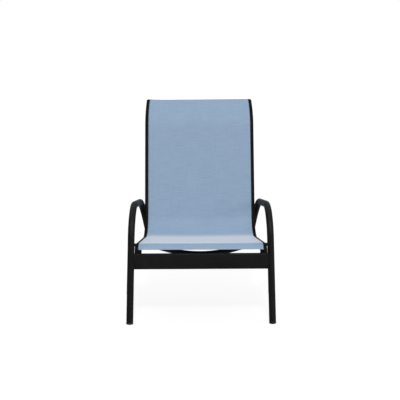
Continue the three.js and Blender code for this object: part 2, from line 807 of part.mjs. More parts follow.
function spreaderPlug(place) {
  const half = spreaderHalf(place);
  const bore = (spreaderDiameter / 2 - spreaderWall) * Math.cos(Math.PI / boreSides);
  const core = along(outlineShape(circle(bore - plugClearance, boreSides)), spreaderRoute(place));
  const end = common(core, slab(half - spreaderPlugLength, half, place));
  const at = screwPoint(place);
  const reach = across.clone().multiplyScalar(spreaderTrim);
  return cut(end, rod(at.clone().sub(reach), at.clone().add(reach), screwHole));
}

function armEndPlug() {
  const stem = legBore * Math.cos(Math.PI / boreSides) - plugClearance;
  const profile = [
    new THREE.Vector2(0, -armPlugFlange - contactGap),
    new THREE.Vector2(legRadius - armPlugFlange / 2, -armPlugFlange - contactGap),
    new THREE.Vector2(legRadius, -armPlugFlange / 2 - contactGap),
    new THREE.Vector2(legRadius, -contactGap),
    new THREE.Vector2(stem, -contactGap),
    new THREE.Vector2(stem, plugLength - armPlugFlange - boltDiameter),
    new THREE.Vector2(0, plugLength - armPlugFlange - boltDiameter),
  ];
  const body = new THREE.LatheGeometry(profile, tubeSides).rotateX(Math.PI / 2);
  return aim(body, armEndPoint, armEndPoint.clone().add(armEndDirection));
}

// The seat of the rail on the arm tube, hollowed to sit on the tube and drilled for the bolt.
function armSaddle() {
  const low = armAtBolt.z;
  const high = railPlaceWhere("y", armBoltY - saddleDepth / 2, false);
  const top = high.point.z - railHeight / 2 / high.tangent.y - contactGap;
  const block = new THREE.BoxGeometry(saddleWidth, saddleDepth, top - low);
  block.translate(armBoltX, armBoltY, (top + low) / 2);
  const tube = rod(
    armEndPoint.clone().addScaledVector(armEndDirection, -cutOverrun),
    armEndPoint.clone().addScaledVector(armEndDirection, 2 * armBoltInset + saddleDepth),
    legRadius + contactGap,
    tubeSides,
  );
  return cut(block, tube, drillUp(armBoltX, armBoltY, low, top + cutOverrun, boltHole));
}

// A domed bolt along +Z: the head hangs below the origin and the shank rises from it.
function bolt(shankLength, diameter, headDiameter, headHeight) {
  const profile = [
    new THREE.Vector2(0, -headHeight),
    new THREE.Vector2(headDiameter / 4, -headHeight),
    new THREE.Vector2(headDiameter / 2, -headHeight / 3),
    new THREE.Vector2(headDiameter / 2, 0),
    new THREE.Vector2(diameter / 2, 0),
    new THREE.Vector2(diameter / 2, shankLength),
    new THREE.Vector2(0, shankLength),
  ];
  return new THREE.LatheGeometry(profile, smallSides).rotateX(Math.PI / 2);
}

// A bolt along +Z with a flat countersunk head, its face at the origin and its shank rising.
function flatBolt(shankLength, diameter, headDiameter, headHeight) {
  const profile = [
    new THREE.Vector2(0, 0),
    new THREE.Vector2(headDiameter / 2, 0),
    new THREE.Vector2(diameter / 2, headHeight),
    new THREE.Vector2(diameter / 2, shankLength),
    new THREE.Vector2(0, shankLength),
  ];
  return new THREE.LatheGeometry(profile, smallSides).rotateX(Math.PI / 2);
}

function washer() {
  const ring = outlineShape(circle(washerDiameter / 2, smallSides), circle(boltHole, smallSides));
  return prism(ring, washerThickness).translate(0, 0, washerThickness / 2);
}

const rearBarBottom = rearBarZ - rearBarHeight / 2 - (washerDiameter / 2) * Math.tan(seatSlope);
const armTubeBottom =
  armAtBolt.z - legRadius - (washerDiameter / 2) * Math.abs(armEndDirection.z / armEndDirection.y);
// Each upright domed bolt: what its washer lies under and how far its shank reaches.
const uprightBolts = [
  {
    name: "rear_bar",
    x: rearBoltX,
    y: rearBarY,
    under: rearBarBottom,
    reach: rearBarZ + rearBarHeight / 2 + rearBoltThread,
  },
  { name: "arm", x: armBoltX, y: armBoltY, under: armTubeBottom, reach: armBoltUnderside + rearBoltThread },
];
const washerDrop = washerThickness + contactGap;

function uprightBolt({ x, y, under, reach }) {
  const start = under - washerDrop - contactGap;
  return bolt(reach - start, boltDiameter, boltHeadDiameter, boltHeadHeight).translate(x, y, start);
}

// The flat-headed bolt that rises through the front bar into the rail's foot.
function frontBarBolt() {
  const reach = railFootZ + frontBoltThread - frontBarBottom;
  const body = flatBolt(reach, boltDiameter, flatBoltHeadDiameter, flatBoltHeadHeight);
  return body.translate(frontBoltX, frontBoltY, frontBarBottom);
}

// A screw through the rail's hollow into the plug in a spreader's end, its head level with the rail.
function spreaderScrew(place) {
  const at = screwPoint(place);
  const headX = screwHeadX(place);
  const reach = headX - spreaderHalf(place) + screwPlugDepth;
  const screw = flatBolt(reach, screwDiameter, screwHeadDiameter, screwHeadHeight).rotateY(-Math.PI / 2);
  return screw.translate(headX, at.y, at.z);
}

function material(finish) {
  return new THREE.MeshStandardMaterial(finish);
}

function piece(name, geometry, finish) {
  const mesh = new THREE.Mesh(geometry, material(finish));
  mesh.name = name;
  return mesh;
}

const chair = new THREE.Group();

// Everything that stands once on each side; the left side mirrors the right.
for (const [side, sign] of [
  ["right", 1],
  ["left", -1],
]) {
  const half = new THREE.Group();
  half.scale.x = sign;
  half.add(
    piece(`${side}_arm_tube`, armTube(), finishes.powderCoat),
    piece(`${side}_rear_leg`, rearLeg(), finishes.powderCoat),
    piece(`${side}_front_glide`, glide(frontFoot, frontLegDirection, legRadius), finishes.moulded),
    piece(`${side}_rear_glide`, glide(rearFootPoint, rearLegDirection, rearRadius), finishes.moulded),
    piece(`${side}_sling_rail`, slingRail(), finishes.railCoat),
    piece(`${side}_rail_foot_plug`, railFootPlug(), finishes.moulded),
    piece(`${side}_rail_top_cap`, railTopCap(), finishes.moulded),
    piece(`${side}_spline_rod`, spline(), finishes.spline),
    piece(`${side}_arm_end_plug`, armEndPlug(), finishes.moulded),
    piece(`${side}_arm_saddle`, armSaddle(), finishes.moulded),
    piece(`${side}_front_bar_bolt`, frontBarBolt(), finishes.fastener),
  );
  for (const place of uprightBolts) {
    const lying = washer().translate(place.x, place.y, place.under - washerDrop);
    half.add(
      piece(`${side}_${place.name}_bolt`, uprightBolt(place), finishes.fastener),
      piece(`${side}_${place.name}_washer`, lying, finishes.fastener),
    );
  }
  for (const place of spreaderPlaces) {
    half.add(
      piece(`${side}_${place.name}_screw`, spreaderScrew(place), finishes.fastener),
      piece(`${side}_${place.name}_plug`, spreaderPlug(place), finishes.moulded),
    );
  }
  chair.add(half);
}

chair.add(
  piece("front_crossbar", frontCrossbar(), finishes.powderCoat),
  piece("rear_crossbar", rearCrossbar(), finishes.powderCoat),
  piece("rear_stretcher", rearStretcher(), finishes.powderCoat),
  piece("sling", sling(), finishes.sling),
  ...spreaderPlaces.map((place) => piece(place.name, spreader(place), finishes.powderCoat)),
);

// The origin stands on the floor, under the middle of the chair's length.
const extent = new THREE.Box3().setFromObject(chair);
chair.position.y = -(extent.min.y + extent.max.y) / 2;

export default chair;
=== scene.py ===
"""Sling patio chair: tubes, rails, stretched sling and fittings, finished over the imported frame.

Lengths are in metres. +X runs across the chair, +Y from its front to its back and +Z up.
"""

import logging
import math
from dataclasses import dataclass, field
from enum import Enum
from typing import Sequence

import bmesh
import bpy
from mathutils import Matrix, Vector


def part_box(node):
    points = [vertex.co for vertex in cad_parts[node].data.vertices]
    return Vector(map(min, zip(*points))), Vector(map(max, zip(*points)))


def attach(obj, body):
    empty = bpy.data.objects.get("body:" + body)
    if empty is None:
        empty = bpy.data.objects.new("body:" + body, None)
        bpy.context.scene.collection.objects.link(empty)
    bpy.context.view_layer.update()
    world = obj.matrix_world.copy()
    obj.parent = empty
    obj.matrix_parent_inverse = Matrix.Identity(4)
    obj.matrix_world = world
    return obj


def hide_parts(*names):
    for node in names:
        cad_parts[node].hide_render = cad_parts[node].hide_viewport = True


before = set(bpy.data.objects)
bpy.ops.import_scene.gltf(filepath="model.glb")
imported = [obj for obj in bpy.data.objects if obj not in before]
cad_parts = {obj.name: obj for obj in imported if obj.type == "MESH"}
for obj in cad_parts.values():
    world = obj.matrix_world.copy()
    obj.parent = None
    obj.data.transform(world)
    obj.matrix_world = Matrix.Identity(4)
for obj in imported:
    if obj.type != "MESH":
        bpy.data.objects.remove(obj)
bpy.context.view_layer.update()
LOG = logging.getLogger("patio_chair")

Point2 = tuple[float, float]
Colour = tuple[float, float, float]
Ring = list[Vector]

ACROSS = Vector((1.0, 0.0, 0.0))
UPWARD = Vector((0.0, 0.0, 1.0))
WHITE = (1.0, 1.0, 1.0, 1.0)
BEND_STEP = math.radians(1.2)
SHARP_ANGLE = math.radians(38.0)
CLOTH_MAP = "ClothMetres"


class Side(Enum):
    """A side of the chair. Pieces are built on the right and mirrored for the left."""

    LEFT = "left"
    RIGHT = "right"

    @property
    def sign(self) -> int:
        """The sign of X on this side."""
        return 1 if self is Side.RIGHT else -1


class Slot(Enum):
    """The record's material slots."""

    FRAME = "frame_coat"
    RAIL = "rail_coat"
    SLING = "sling_fabric"
    MOULDED = "moulded_plastic"
    FASTENER = "fastener_steel"
    SPLINE = "spline_plastic"


@dataclass(frozen=True)
class Station:
    """A place on a route and the direction the route has there."""

    point: Vector
    tangent: Vector


class Route:
    """A line of stations, such as the centre line of a bent tube."""

    def __init__(self, stations: Sequence[Station]) -> None:
        """Keeps the stations and the distance along the route at each of them.

        Args:
            stations: The places that the route passes, in order.
        """
        self.stations = list(stations)
        self.distances = [0.0]
        for before, after in zip(self.stations, self.stations[1:]):
            self.distances.append(self.distances[-1] + (after.point - before.point).length)

    @classmethod
    def bent(cls, corners: Sequence[Vector], radii: Sequence[float]) -> "Route":
        """Makes a route of straights joined by round bends.

        Args:
            corners: The ends of the route and the corners where its straights would meet.
            radii: The bend radius at each corner between the ends.

        Returns:
            The route, with close stations round its bends.
        """
        stations = [Station(corners[0].copy(), (corners[1] - corners[0]).normalized())]
        for before, corner, after, radius in zip(corners, corners[1:], corners[2:], radii):
            stations.extend(cls._bend(before, corner, after, radius))
        stations.append(Station(corners[-1].copy(), (corners[-1] - corners[-2]).normalized()))
        return cls(stations)

    @staticmethod
    def _bend(before: Vector, corner: Vector, after: Vector, radius: float) -> list[Station]:
        """Works out the stations round one bend.

        Args:
            before: The corner or end before the bend.
            corner: The corner that the bend rounds.
            after: The corner or end after the bend.
            radius: The bend's radius.

        Returns:
            The stations from the bend's start to its end.
        """
        incoming = (corner - before).normalized()
        outgoing = (after - corner).normalized()
        turn = incoming.angle(outgoing)
        axis = incoming.cross(outgoing).normalized()
        inward = axis.cross(incoming)
        start = corner - incoming * (radius * math.tan(turn / 2))
        centre = start + inward * radius
        steps = max(2, math.ceil(turn / BEND_STEP))
        found = []
        for index in range(steps + 1):
            spin = Matrix.Rotation(turn * index / steps, 3, axis)
            found.append(Station(centre - spin @ inward * radius, spin @ incoming))
        return found

    @property
    def length(self) -> float:
        """The route's whole length."""
        return self.distances[-1]

    def at(self, distance: float) -> Station:
        """Finds the place at a distance along the route.

        Args:
            distance: The distance from the start, in metres.

        Returns:
            The place and direction there.
        """
        index = 0
        while index + 2 < len(self.distances) and self.distances[index + 1] < distance:
            index += 1
        span = self.distances[index + 1] - self.distances[index]
        share = (distance - self.distances[index]) / span if span else 0.0
        a = self.stations[index]
        b = self.stations[index + 1]
        return Station(a.point.lerp(b.point, share), a.tangent.lerp(b.tangent, share).normalized())

    def even(self, start: float, end: float, spacing: float) -> "Route":
        """Divides a stretch of the route into even steps.

        Args:
            start: Where the stretch starts.
            end: Where it ends.
            spacing: The longest step.

        Returns:
            The stretch as a route of its own.
        """
        steps = max(2, math.ceil((end - start) / spacing))
        return Route([self.at(start + (end - start) * k / steps) for k in range(steps + 1)])

    def where(self, axis: int, value: float, from_end: bool) -> Station:
        """Finds where the route crosses a value of one coordinate.

        Args:
            axis: The coordinate's index.
            value: The coordinate's value.
            from_end: Whether to look from the end towards the start.

        Returns:
            The first such place.
        """
        order = range(len(self.stations) - 1)
        for index in reversed(order) if from_end else order:
            a = self.stations[index]
            b = self.stations[index + 1]
            low, high = a.point[axis] - value, b.point[axis] - value
            if low * high <= 0 and low != high:
                share = low / (low - high)
                tangent = a.tangent.lerp(b.tangent, share).normalized()
                return Station(a.point.lerp(b.point, share), tangent)
        return self.stations[-1 if from_end else 0]


def face_normal(tangent: Vector) -> Vector:
    """Gives the direction out of a rail's grooved face, in the side view."""
    return Vector((0.0, -tangent.z, tangent.y)).normalized()


def arc(centre: Point2, radius: float, start: float, end: float, steps: int) -> list[Point2]:
    """Gives points of a circular arc, both ends included.

    Args:
        centre: The arc's centre.
        radius: Its radius.
        start: The first point's angle, in radians.
        end: The last point's angle.
        steps: How many steps the arc is divided into.

    Returns:
        The points in order.
    """
    angles = [start + (end - start) * k / steps for k in range(steps + 1)]
    return [(centre[0] + radius * math.cos(a), centre[1] + radius * math.sin(a)) for a in angles]


def circle(radius: float, sides: int, centre: Point2 = (0.0, 0.0)) -> list[Point2]:
    """Gives the points of a circle, without the first one again at the end."""
    return arc(centre, radius, 0.0, math.tau, sides)[:-1]


def hexagon(radius: float, sides: int) -> list[Point2]:
    """Gives points round a hexagon, as many as a circle of that many sides has.

    Args:
        radius: The distance from its middle to the middle of a flat.
        sides: How many points it has.

    Returns:
        The points in order.
    """
    points = []
    for k in range(sides):
        angle = math.tau * k / sides
        from_flat = (angle + math.pi / 6) % (math.pi / 3) - math.pi / 6
        here = radius / math.cos(from_flat)
        points.append((here * math.cos(angle), here * math.sin(angle)))
    return points


def rounded_rectangle(width: float, height: float, radius: float, steps: int = 6) -> list[Point2]:
    """Gives the outline of a rectangle with round corners.

    Args:
        width: The outline's width.
        height: Its height.
        radius: The corners' radius.
        steps: How many steps each corner is divided into.

    Returns:
        The outline's points, anticlockwise.
    """
    x, y, quarter = width / 2 - radius, height / 2 - radius, math.pi / 2
    return [
        *arc((x, -y), radius, -quarter, 0.0, steps),
        *arc((x, y), radius, 0.0, quarter, steps),
        *arc((-x, y), radius, quarter, 2 * quarter, steps),
        *arc((-x, -y), radius, 2 * quarter, 3 * quarter, steps),
    ]


def mesh_piece(
    name: str, points: Sequence[Vector], faces: Sequence[Sequence[int]], side: Side = Side.RIGHT
) -> bpy.types.Object:
    """Makes a smooth-shaded object from points and faces.

    Args:
        name: The piece's name.
        points: Its points, as for the right side.
        faces: Its faces, as indices of points.
        side: The side that it goes on; the left mirrors the right.

    Returns:
        The object, with its faces pointing out.
    """
    mesh = bpy.data.meshes.new(name)
    mesh.from_pydata([(p.x * side.sign, p.y, p.z) for p in points], [], [list(f) for f in faces])
    built = bmesh.new()
    built.from_mesh(mesh)
    bmesh.ops.recalc_face_normals(built, faces=built.faces)
    built.to_mesh(mesh)
    built.free()
    mesh.shade_smooth()
    mesh.set_sharp_from_angle(angle=SHARP_ANGLE)
    piece = bpy.data.objects.new(name, mesh)
    bpy.context.scene.collection.objects.link(piece)
    return piece


def loft_faces(rings: int, count: int, closed: bool = False, first: int = 0) -> list[list[int]]:
    """Lists the faces between rings of points, and the two end faces of an open run.

    Args:
        rings: How many rings there are.
        count: How many points each ring has.
        closed: Whether the last ring joins the first.
        first: The index of the first ring's first point.

    Returns:
        The faces, as indices of points.
    """
    faces = []
    for ring in range(rings if closed else rings - 1):
        here = first + ring * count
        there = first + (ring + 1) % rings * count
        for k in range(count):
            nxt = (k + 1) % count
            faces.append([here + k, here + nxt, there + nxt, there + k])
    if not closed:
        faces.append([first + k for k in reversed(range(count))])
        faces.append([first + (rings - 1) * count + k for k in range(count)])
    return faces


def lofted(
    name: str, rings: Sequence[Ring], side: Side = Side.RIGHT, closed: bool = False
) -> bpy.types.Object:
    """Makes a closed body through rings of points.

    Args:
        name: The piece's name.
        rings: The rings, each with as many points.
        side: The side that it goes on.
        closed: Whether the last ring joins the first.

    Returns:
        The object.
    """
    points = [p for ring in rings for p in ring]
    return mesh_piece(name, points, loft_faces(len(rings), len(rings[0]), closed), side)


def section_rings(
    section: Sequence[Point2], route: Route, lateral: Vector | None = None
) -> list[Ring]:
    """Places one section at every station of a route.

    Args:
        section: The section's points.
        route: The route that it follows.
        lateral: The direction of the section's x, or None to turn it as little as possible.

    Returns:
        One ring of points for each station.
    """
    normal = lateral.copy() if lateral else UPWARD.copy()
    if not lateral and abs(normal.dot(route.stations[0].tangent)) > math.sqrt(0.5):
        normal = ACROSS.copy()
    rings = []
    for station in route.stations:
        if not lateral:
            normal = (normal - station.tangent * normal.dot(station.tangent)).normalized()
        binormal = station.tangent.cross(normal).normalized()
        rings.append([station.point + normal * x + binormal * y for x, y in section])
    return rings


def swept(
    name: str,
    section: Sequence[Point2],
    route: Route,
    side: Side = Side.RIGHT,
    lateral: Vector | None = None,
) -> bpy.types.Object:
    """Sweeps one section along a route into a closed body.

    Args:
        name: The piece's name.
        section: The section's points.
        route: The route that it follows.
        side: The side that it goes on.
        lateral: The direction of the section's x, or None to turn it as little as possible.

    Returns:
        The object.
    """
    return lofted(name, section_rings(section, route, lateral), side)


def turned(
    name: str,
    profile: Sequence[Point2],
    base: Vector,
    axis: Vector,
    side: Side = Side.RIGHT,
    sides: int = 40,
) -> bpy.types.Object:
    """Turns a profile round an axis into a closed body.

    Args:
        name: The piece's name.
        profile: Radius and height of each point, from end to end, none on the axis.
        base: Where height 0 lies on the axis.
        axis: The direction of height.
        side: The side that it goes on.
        sides: How many sides the body has.

    Returns:
        The object.
    """
    turn = UPWARD.rotation_difference(axis.normalized()).to_matrix()
    rings = [[base + turn @ Vector((x, y, h)) for x, y in circle(r, sides)] for r, h in profile]
    return lofted(name, rings, side)


def surface_hit(
    point: Vector, direction: Vector, axis_point: Vector, axis: Vector, radius: float, far: bool
) -> Vector:
    """Finds where a line meets a round tube.

    Args:
        point: A point of the line.
        direction: The line's direction.
        axis_point: A point on the tube's axis.
        axis: The tube's direction, of length 1.
        radius: The tube's radius.
        far: Whether to take the crossing further along the direction.

    Returns:
        The crossing, or the line's nearest point to the axis where it misses the tube.
    """
    offset = point - axis_point
    offset -= axis * offset.dot(axis)
    slope = direction - axis * direction.dot(axis)
    a = slope.dot(slope)
    b = offset.dot(slope)
    c = offset.dot(offset) - radius * radius
    root = math.sqrt(max(b * b - a * c, 0.0))
    return point + direction * ((-b + (root if far else -root)) / a)


@dataclass(frozen=True)
class Relief:
    """How a finish's bump shows: its strength, and the height of a value of 1 in metres."""

    strength: float
    depth: float


class NodeTree:
    """A small helper that adds and links the nodes of one tree."""

    def __init__(self, tree: bpy.types.NodeTree) -> None:
        """Keeps the tree."""
        self.tree = tree

    def add(
        self, kind: str, inputs: dict[str | int, object] | None = None, **settings: object
    ) -> bpy.types.Node:
        """Adds a node.

        Args:
            kind: The node's type name.
            inputs: A value, or another node's output, for each named or numbered input.
            **settings: Values for the node's own properties.

        Returns:
            The new node.
        """
        node = self.tree.nodes.new(kind)
        for key, value in settings.items():
            setattr(node, key, value)
        for key, value in (inputs or {}).items():
            self.put(node.inputs[key], value)
        return node

    def put(self, socket: bpy.types.NodeSocket, value: object) -> None:
        """Sets a socket to a value or links it to an output.

        Args:
            socket: The socket.
            value: A value, or another node's output.
        """
        if isinstance(value, bpy.types.NodeSocket):
            self.tree.links.new(value, socket)
        else:
            socket.default_value = value

    def math(self, operation: str, a: object, b: object = 0.0) -> bpy.types.NodeSocket:
        """Adds a Math node and returns its output."""
        return self.add("ShaderNodeMath", {0: a, 1: b}, operation=operation).outputs[0]

    def by_camera(self, seen: bpy.types.Node, unseen: bpy.types.Node) -> bpy.types.NodeSocket:
        """Chooses between two shaders by whether the camera sees the place itself.

        Args:
            seen: The shader that the camera sees.
            unseen: The shader that every other ray meets.

        Returns:
            The chosen shader's output.
        """
        path = self.add("ShaderNodeLightPath").outputs["Is Camera Ray"]
        inputs = {0: path, 1: unseen.outputs[0], 2: seen.outputs[0]}
        return self.add("ShaderNodeMixShader", inputs).outputs[0]


class Nodes(NodeTree):
    """The nodes of one material with a Principled surface."""

    def __init__(self, name: str) -> None:
        """Starts a material with an empty Principled surface.

        Args:
            name: The material's name.
        """
        self.material = bpy.data.materials.new(name)
        self.material.use_nodes = True
        super().__init__(self.material.node_tree)
        self.shader = self.tree.nodes["Principled BSDF"]

    def noise(self, place: object, scale: float, detail: float = 2.0) -> bpy.types.NodeSocket:
        """Adds a noise texture and returns its value."""
        node = self.add("ShaderNodeTexNoise", {"Vector": place, "Scale": scale, "Detail": detail})
        return node.outputs["Fac"]

    def ramp(
        self, value: object, positions: Sequence[float], *colours: Colour
    ) -> bpy.types.NodeSocket:
        """Adds a colour ramp and returns its colour.

        Args:
            value: The output that drives the ramp.
            positions: The position of each stop.
            *colours: The linear colour of each stop.

        Returns:
            The ramp's colour output.
        """
        node = self.add("ShaderNodeValToRGB", {"Fac": value})
        elements = node.color_ramp.elements
        while len(elements) < len(positions):
            elements.new(0.5)
        for element, position, colour in zip(elements, positions, colours):
            element.position = position
            element.color = (*colour, 1.0)
        return node.outputs["Color"]

    def mix(self, share: object, first: object, second: Colour) -> bpy.types.NodeSocket:
        """Mixes two colours.

        Args:
            share: The output that gives the second colour's share.
            first: The first colour's output.
            second: The second colour, linear.

        Returns:
            The mixed colour's output.
        """
        node = self.add("ShaderNodeMix", {0: share, 6: first, 7: (*second, 1.0)}, data_type="RGBA")
        return node.outputs[2]

    def spread(
        self, value: object, source: Point2, target: Point2, **settings: object
    ) -> bpy.types.NodeSocket:
        """Maps one range of values to another.

        Args:
            value: The output that is mapped.
            source: The lowest and highest value that it takes.
            target: The values that these two are mapped to.
            **settings: Values for the node's own properties.

        Returns:
            The mapped value's output.
        """
        inputs = {
            "Value": value,
            "From Min": source[0],
            "From Max": source[1],
            "To Min": target[0],
            "To Max": target[1],
        }
        return self.add("ShaderNodeMapRange", inputs, **settings).outputs["Result"]

    def colour(self, value: object) -> None:
        """Links the surface's colour to an output."""
        self.put(self.shader.inputs["Base Color"], value)

    def bump(self, height: object, relief: Relief) -> None:
        """Adds bump to the surface.

        Args:
            height: The output that gives the height.
            relief: How much of the bump shows, and how high it is.
        """
        inputs = {"Height": height, "Strength": relief.strength, "Distance": relief.depth}
        bump = self.add("ShaderNodeBump", inputs)
        self.put(self.shader.inputs["Normal"], bump.outputs["Normal"])


@dataclass(frozen=True)
class PowderCoat:
    """Near-black powder coat with a fine orange-peel texture and pale specks."""

    name: str = "textured_black_coat"
    deep: Colour = (0.0012, 0.0012, 0.0012)
    pale: Colour = (0.0030, 0.0029, 0.0029)
    speck: Colour = (0.0340, 0.0330, 0.0320)
    stops: tuple[float, ...] = (0.36, 0.60, 0.74)
    roughness: Point2 = (0.48, 0.62)
    specular: float = 0.20
    grain_per_metre: float = 900.0
    grain_share: float = 0.6
    cloud_per_metre: float = 16.0
    cloud_share: float = 0.4
    cloud_range: Point2 = (0.3, 0.7)
    relief: Relief = Relief(0.35, 0.00025)

    def make(self) -> bpy.types.Material:
        """Builds the material.

        Returns:
            The material, whose specks and bump follow the grain.
        """
        nodes = Nodes(self.name)
        place = nodes.add("ShaderNodeTexCoord").outputs["Object"]
        grain = nodes.noise(place, self.grain_per_metre, detail=3.0)
        cloud = nodes.noise(place, self.cloud_per_metre, detail=4.0)
        grain_part = nodes.math("MULTIPLY", grain, self.grain_share)
        cloud_part = nodes.math("MULTIPLY", cloud, self.cloud_share)
        tone = nodes.math("ADD", grain_part, cloud_part)
        nodes.colour(nodes.ramp(tone, self.stops, self.deep, self.pale, self.speck))
        rough = nodes.spread(cloud, self.cloud_range, self.roughness)
        nodes.put(nodes.shader.inputs["Roughness"], rough)
        nodes.shader.inputs["Specular IOR Level"].default_value = self.specular
        nodes.bump(grain, self.relief)
        return nodes.material


@dataclass(frozen=True)
class RailCoat(PowderCoat):
    """The coat of the extruded rails, which gleams less than that of the tubes."""

    name: str = "textured_rail_coat"
    roughness: Point2 = (0.50, 0.62)
    specular: float = 0.07


@dataclass(frozen=True)
class MouldedPlastic:
    """Black moulded plastic with a fine spark-eroded grain."""

    name: str = "moulded_black_plastic"
    deep: Colour = (0.0035, 0.0035, 0.0038)
    pale: Colour = (0.0095, 0.0095, 0.0100)
    stops: Point2 = (0.35, 0.65)
    roughness: float = 0.52
    specular: float = 0.35
    grain_per_metre: float = 1500.0
    wear_per_metre: float = 37.5
    relief: Relief = Relief(0.25, 0.00012)

    def make(self) -> bpy.types.Material:
        """Builds the material.

        Returns:
            The material, whose tone is the mean of its grain and its wear.
        """
        nodes = Nodes(self.name)
        place = nodes.add("ShaderNodeTexCoord").outputs["Object"]
        grain = nodes.noise(place, self.grain_per_metre)
        wear = nodes.noise(place, self.wear_per_metre, detail=3.0)
        tone = nodes.math("MULTIPLY", nodes.math("ADD", grain, wear), 0.5)
        nodes.colour(nodes.ramp(tone, self.stops, self.deep, self.pale))
        nodes.shader.inputs["Roughness"].default_value = self.roughness
        nodes.shader.inputs["Specular IOR Level"].default_value = self.specular
        nodes.bump(grain, self.relief)
        return nodes.material


@dataclass(frozen=True)
class BlackedSteel:
    """Black-plated steel fasteners, turned, with paler worn patches."""

    name: str = "blacked_steel"
    deep: Colour = (0.016, 0.016, 0.018)
    worn: Colour = (0.070, 0.068, 0.066)
    stops: Point2 = (0.42, 0.70)
    metallic: float = 0.85
    roughness: float = 0.34
    turning_per_metre: float = 2400.0
    patches_per_metre: float = 200.0
    relief: Relief = Relief(0.2, 0.00006)

    def make(self) -> bpy.types.Material:
        """Builds the material.

        Returns:
            The material, worn paler in small patches.
        """
        nodes = Nodes(self.name)
        place = nodes.add("ShaderNodeTexCoord").outputs["Object"]
        fine = nodes.noise(place, self.turning_per_metre)
        patch = nodes.noise(place, self.patches_per_metre, detail=3.0)
        nodes.colour(nodes.ramp(patch, self.stops, self.deep, self.worn))
        nodes.shader.inputs["Metallic"].default_value = self.metallic
        nodes.shader.inputs["Roughness"].default_value = self.roughness
        nodes.bump(fine, self.relief)
        return nodes.material


@dataclass(frozen=True)
class TwoToneFinish:
    """A plain finish whose two tones and bump follow one fine noise."""

    name: str
    deep: Colour
    pale: Colour
    roughness: float
    grain_per_metre: float
    relief: Relief
    stops: Point2 = (0.35, 0.65)

    def make(self) -> bpy.types.Material:
        """Builds the material.

        Returns:
            The material.
        """
        nodes = Nodes(self.name)
        place = nodes.add("ShaderNodeTexCoord").outputs["Object"]
        fine = nodes.noise(place, self.grain_per_metre)
        nodes.colour(nodes.ramp(fine, self.stops, self.deep, self.pale))
        nodes.shader.inputs["Roughness"].default_value = self.roughness
        nodes.bump(fine, self.relief)
        return nodes.material


@dataclass(frozen=True)
class SplinePlastic(TwoToneFinish):
    """Extruded dark plastic of the rods, finely grained."""

    name: str = "extruded_spline"
    deep: Colour = (0.020, 0.022, 0.026)
    pale: Colour = (0.042, 0.046, 0.052)
    roughness: float = 0.45
    grain_per_metre: float = 700.0
    relief: Relief = Relief(0.2, 0.0001)


@dataclass(frozen=True)
class SewingThread(TwoToneFinish):
    """Pale blue-grey sewing thread with a slight twist in its shade."""

    name: str = "sewing_thread"
    deep: Colour = (0.200, 0.280, 0.400)
    pale: Colour = (0.330, 0.430, 0.580)
    roughness: float = 0.6
    grain_per_metre: float = 1800.0
    relief: Relief = Relief(0.3, 0.0001)


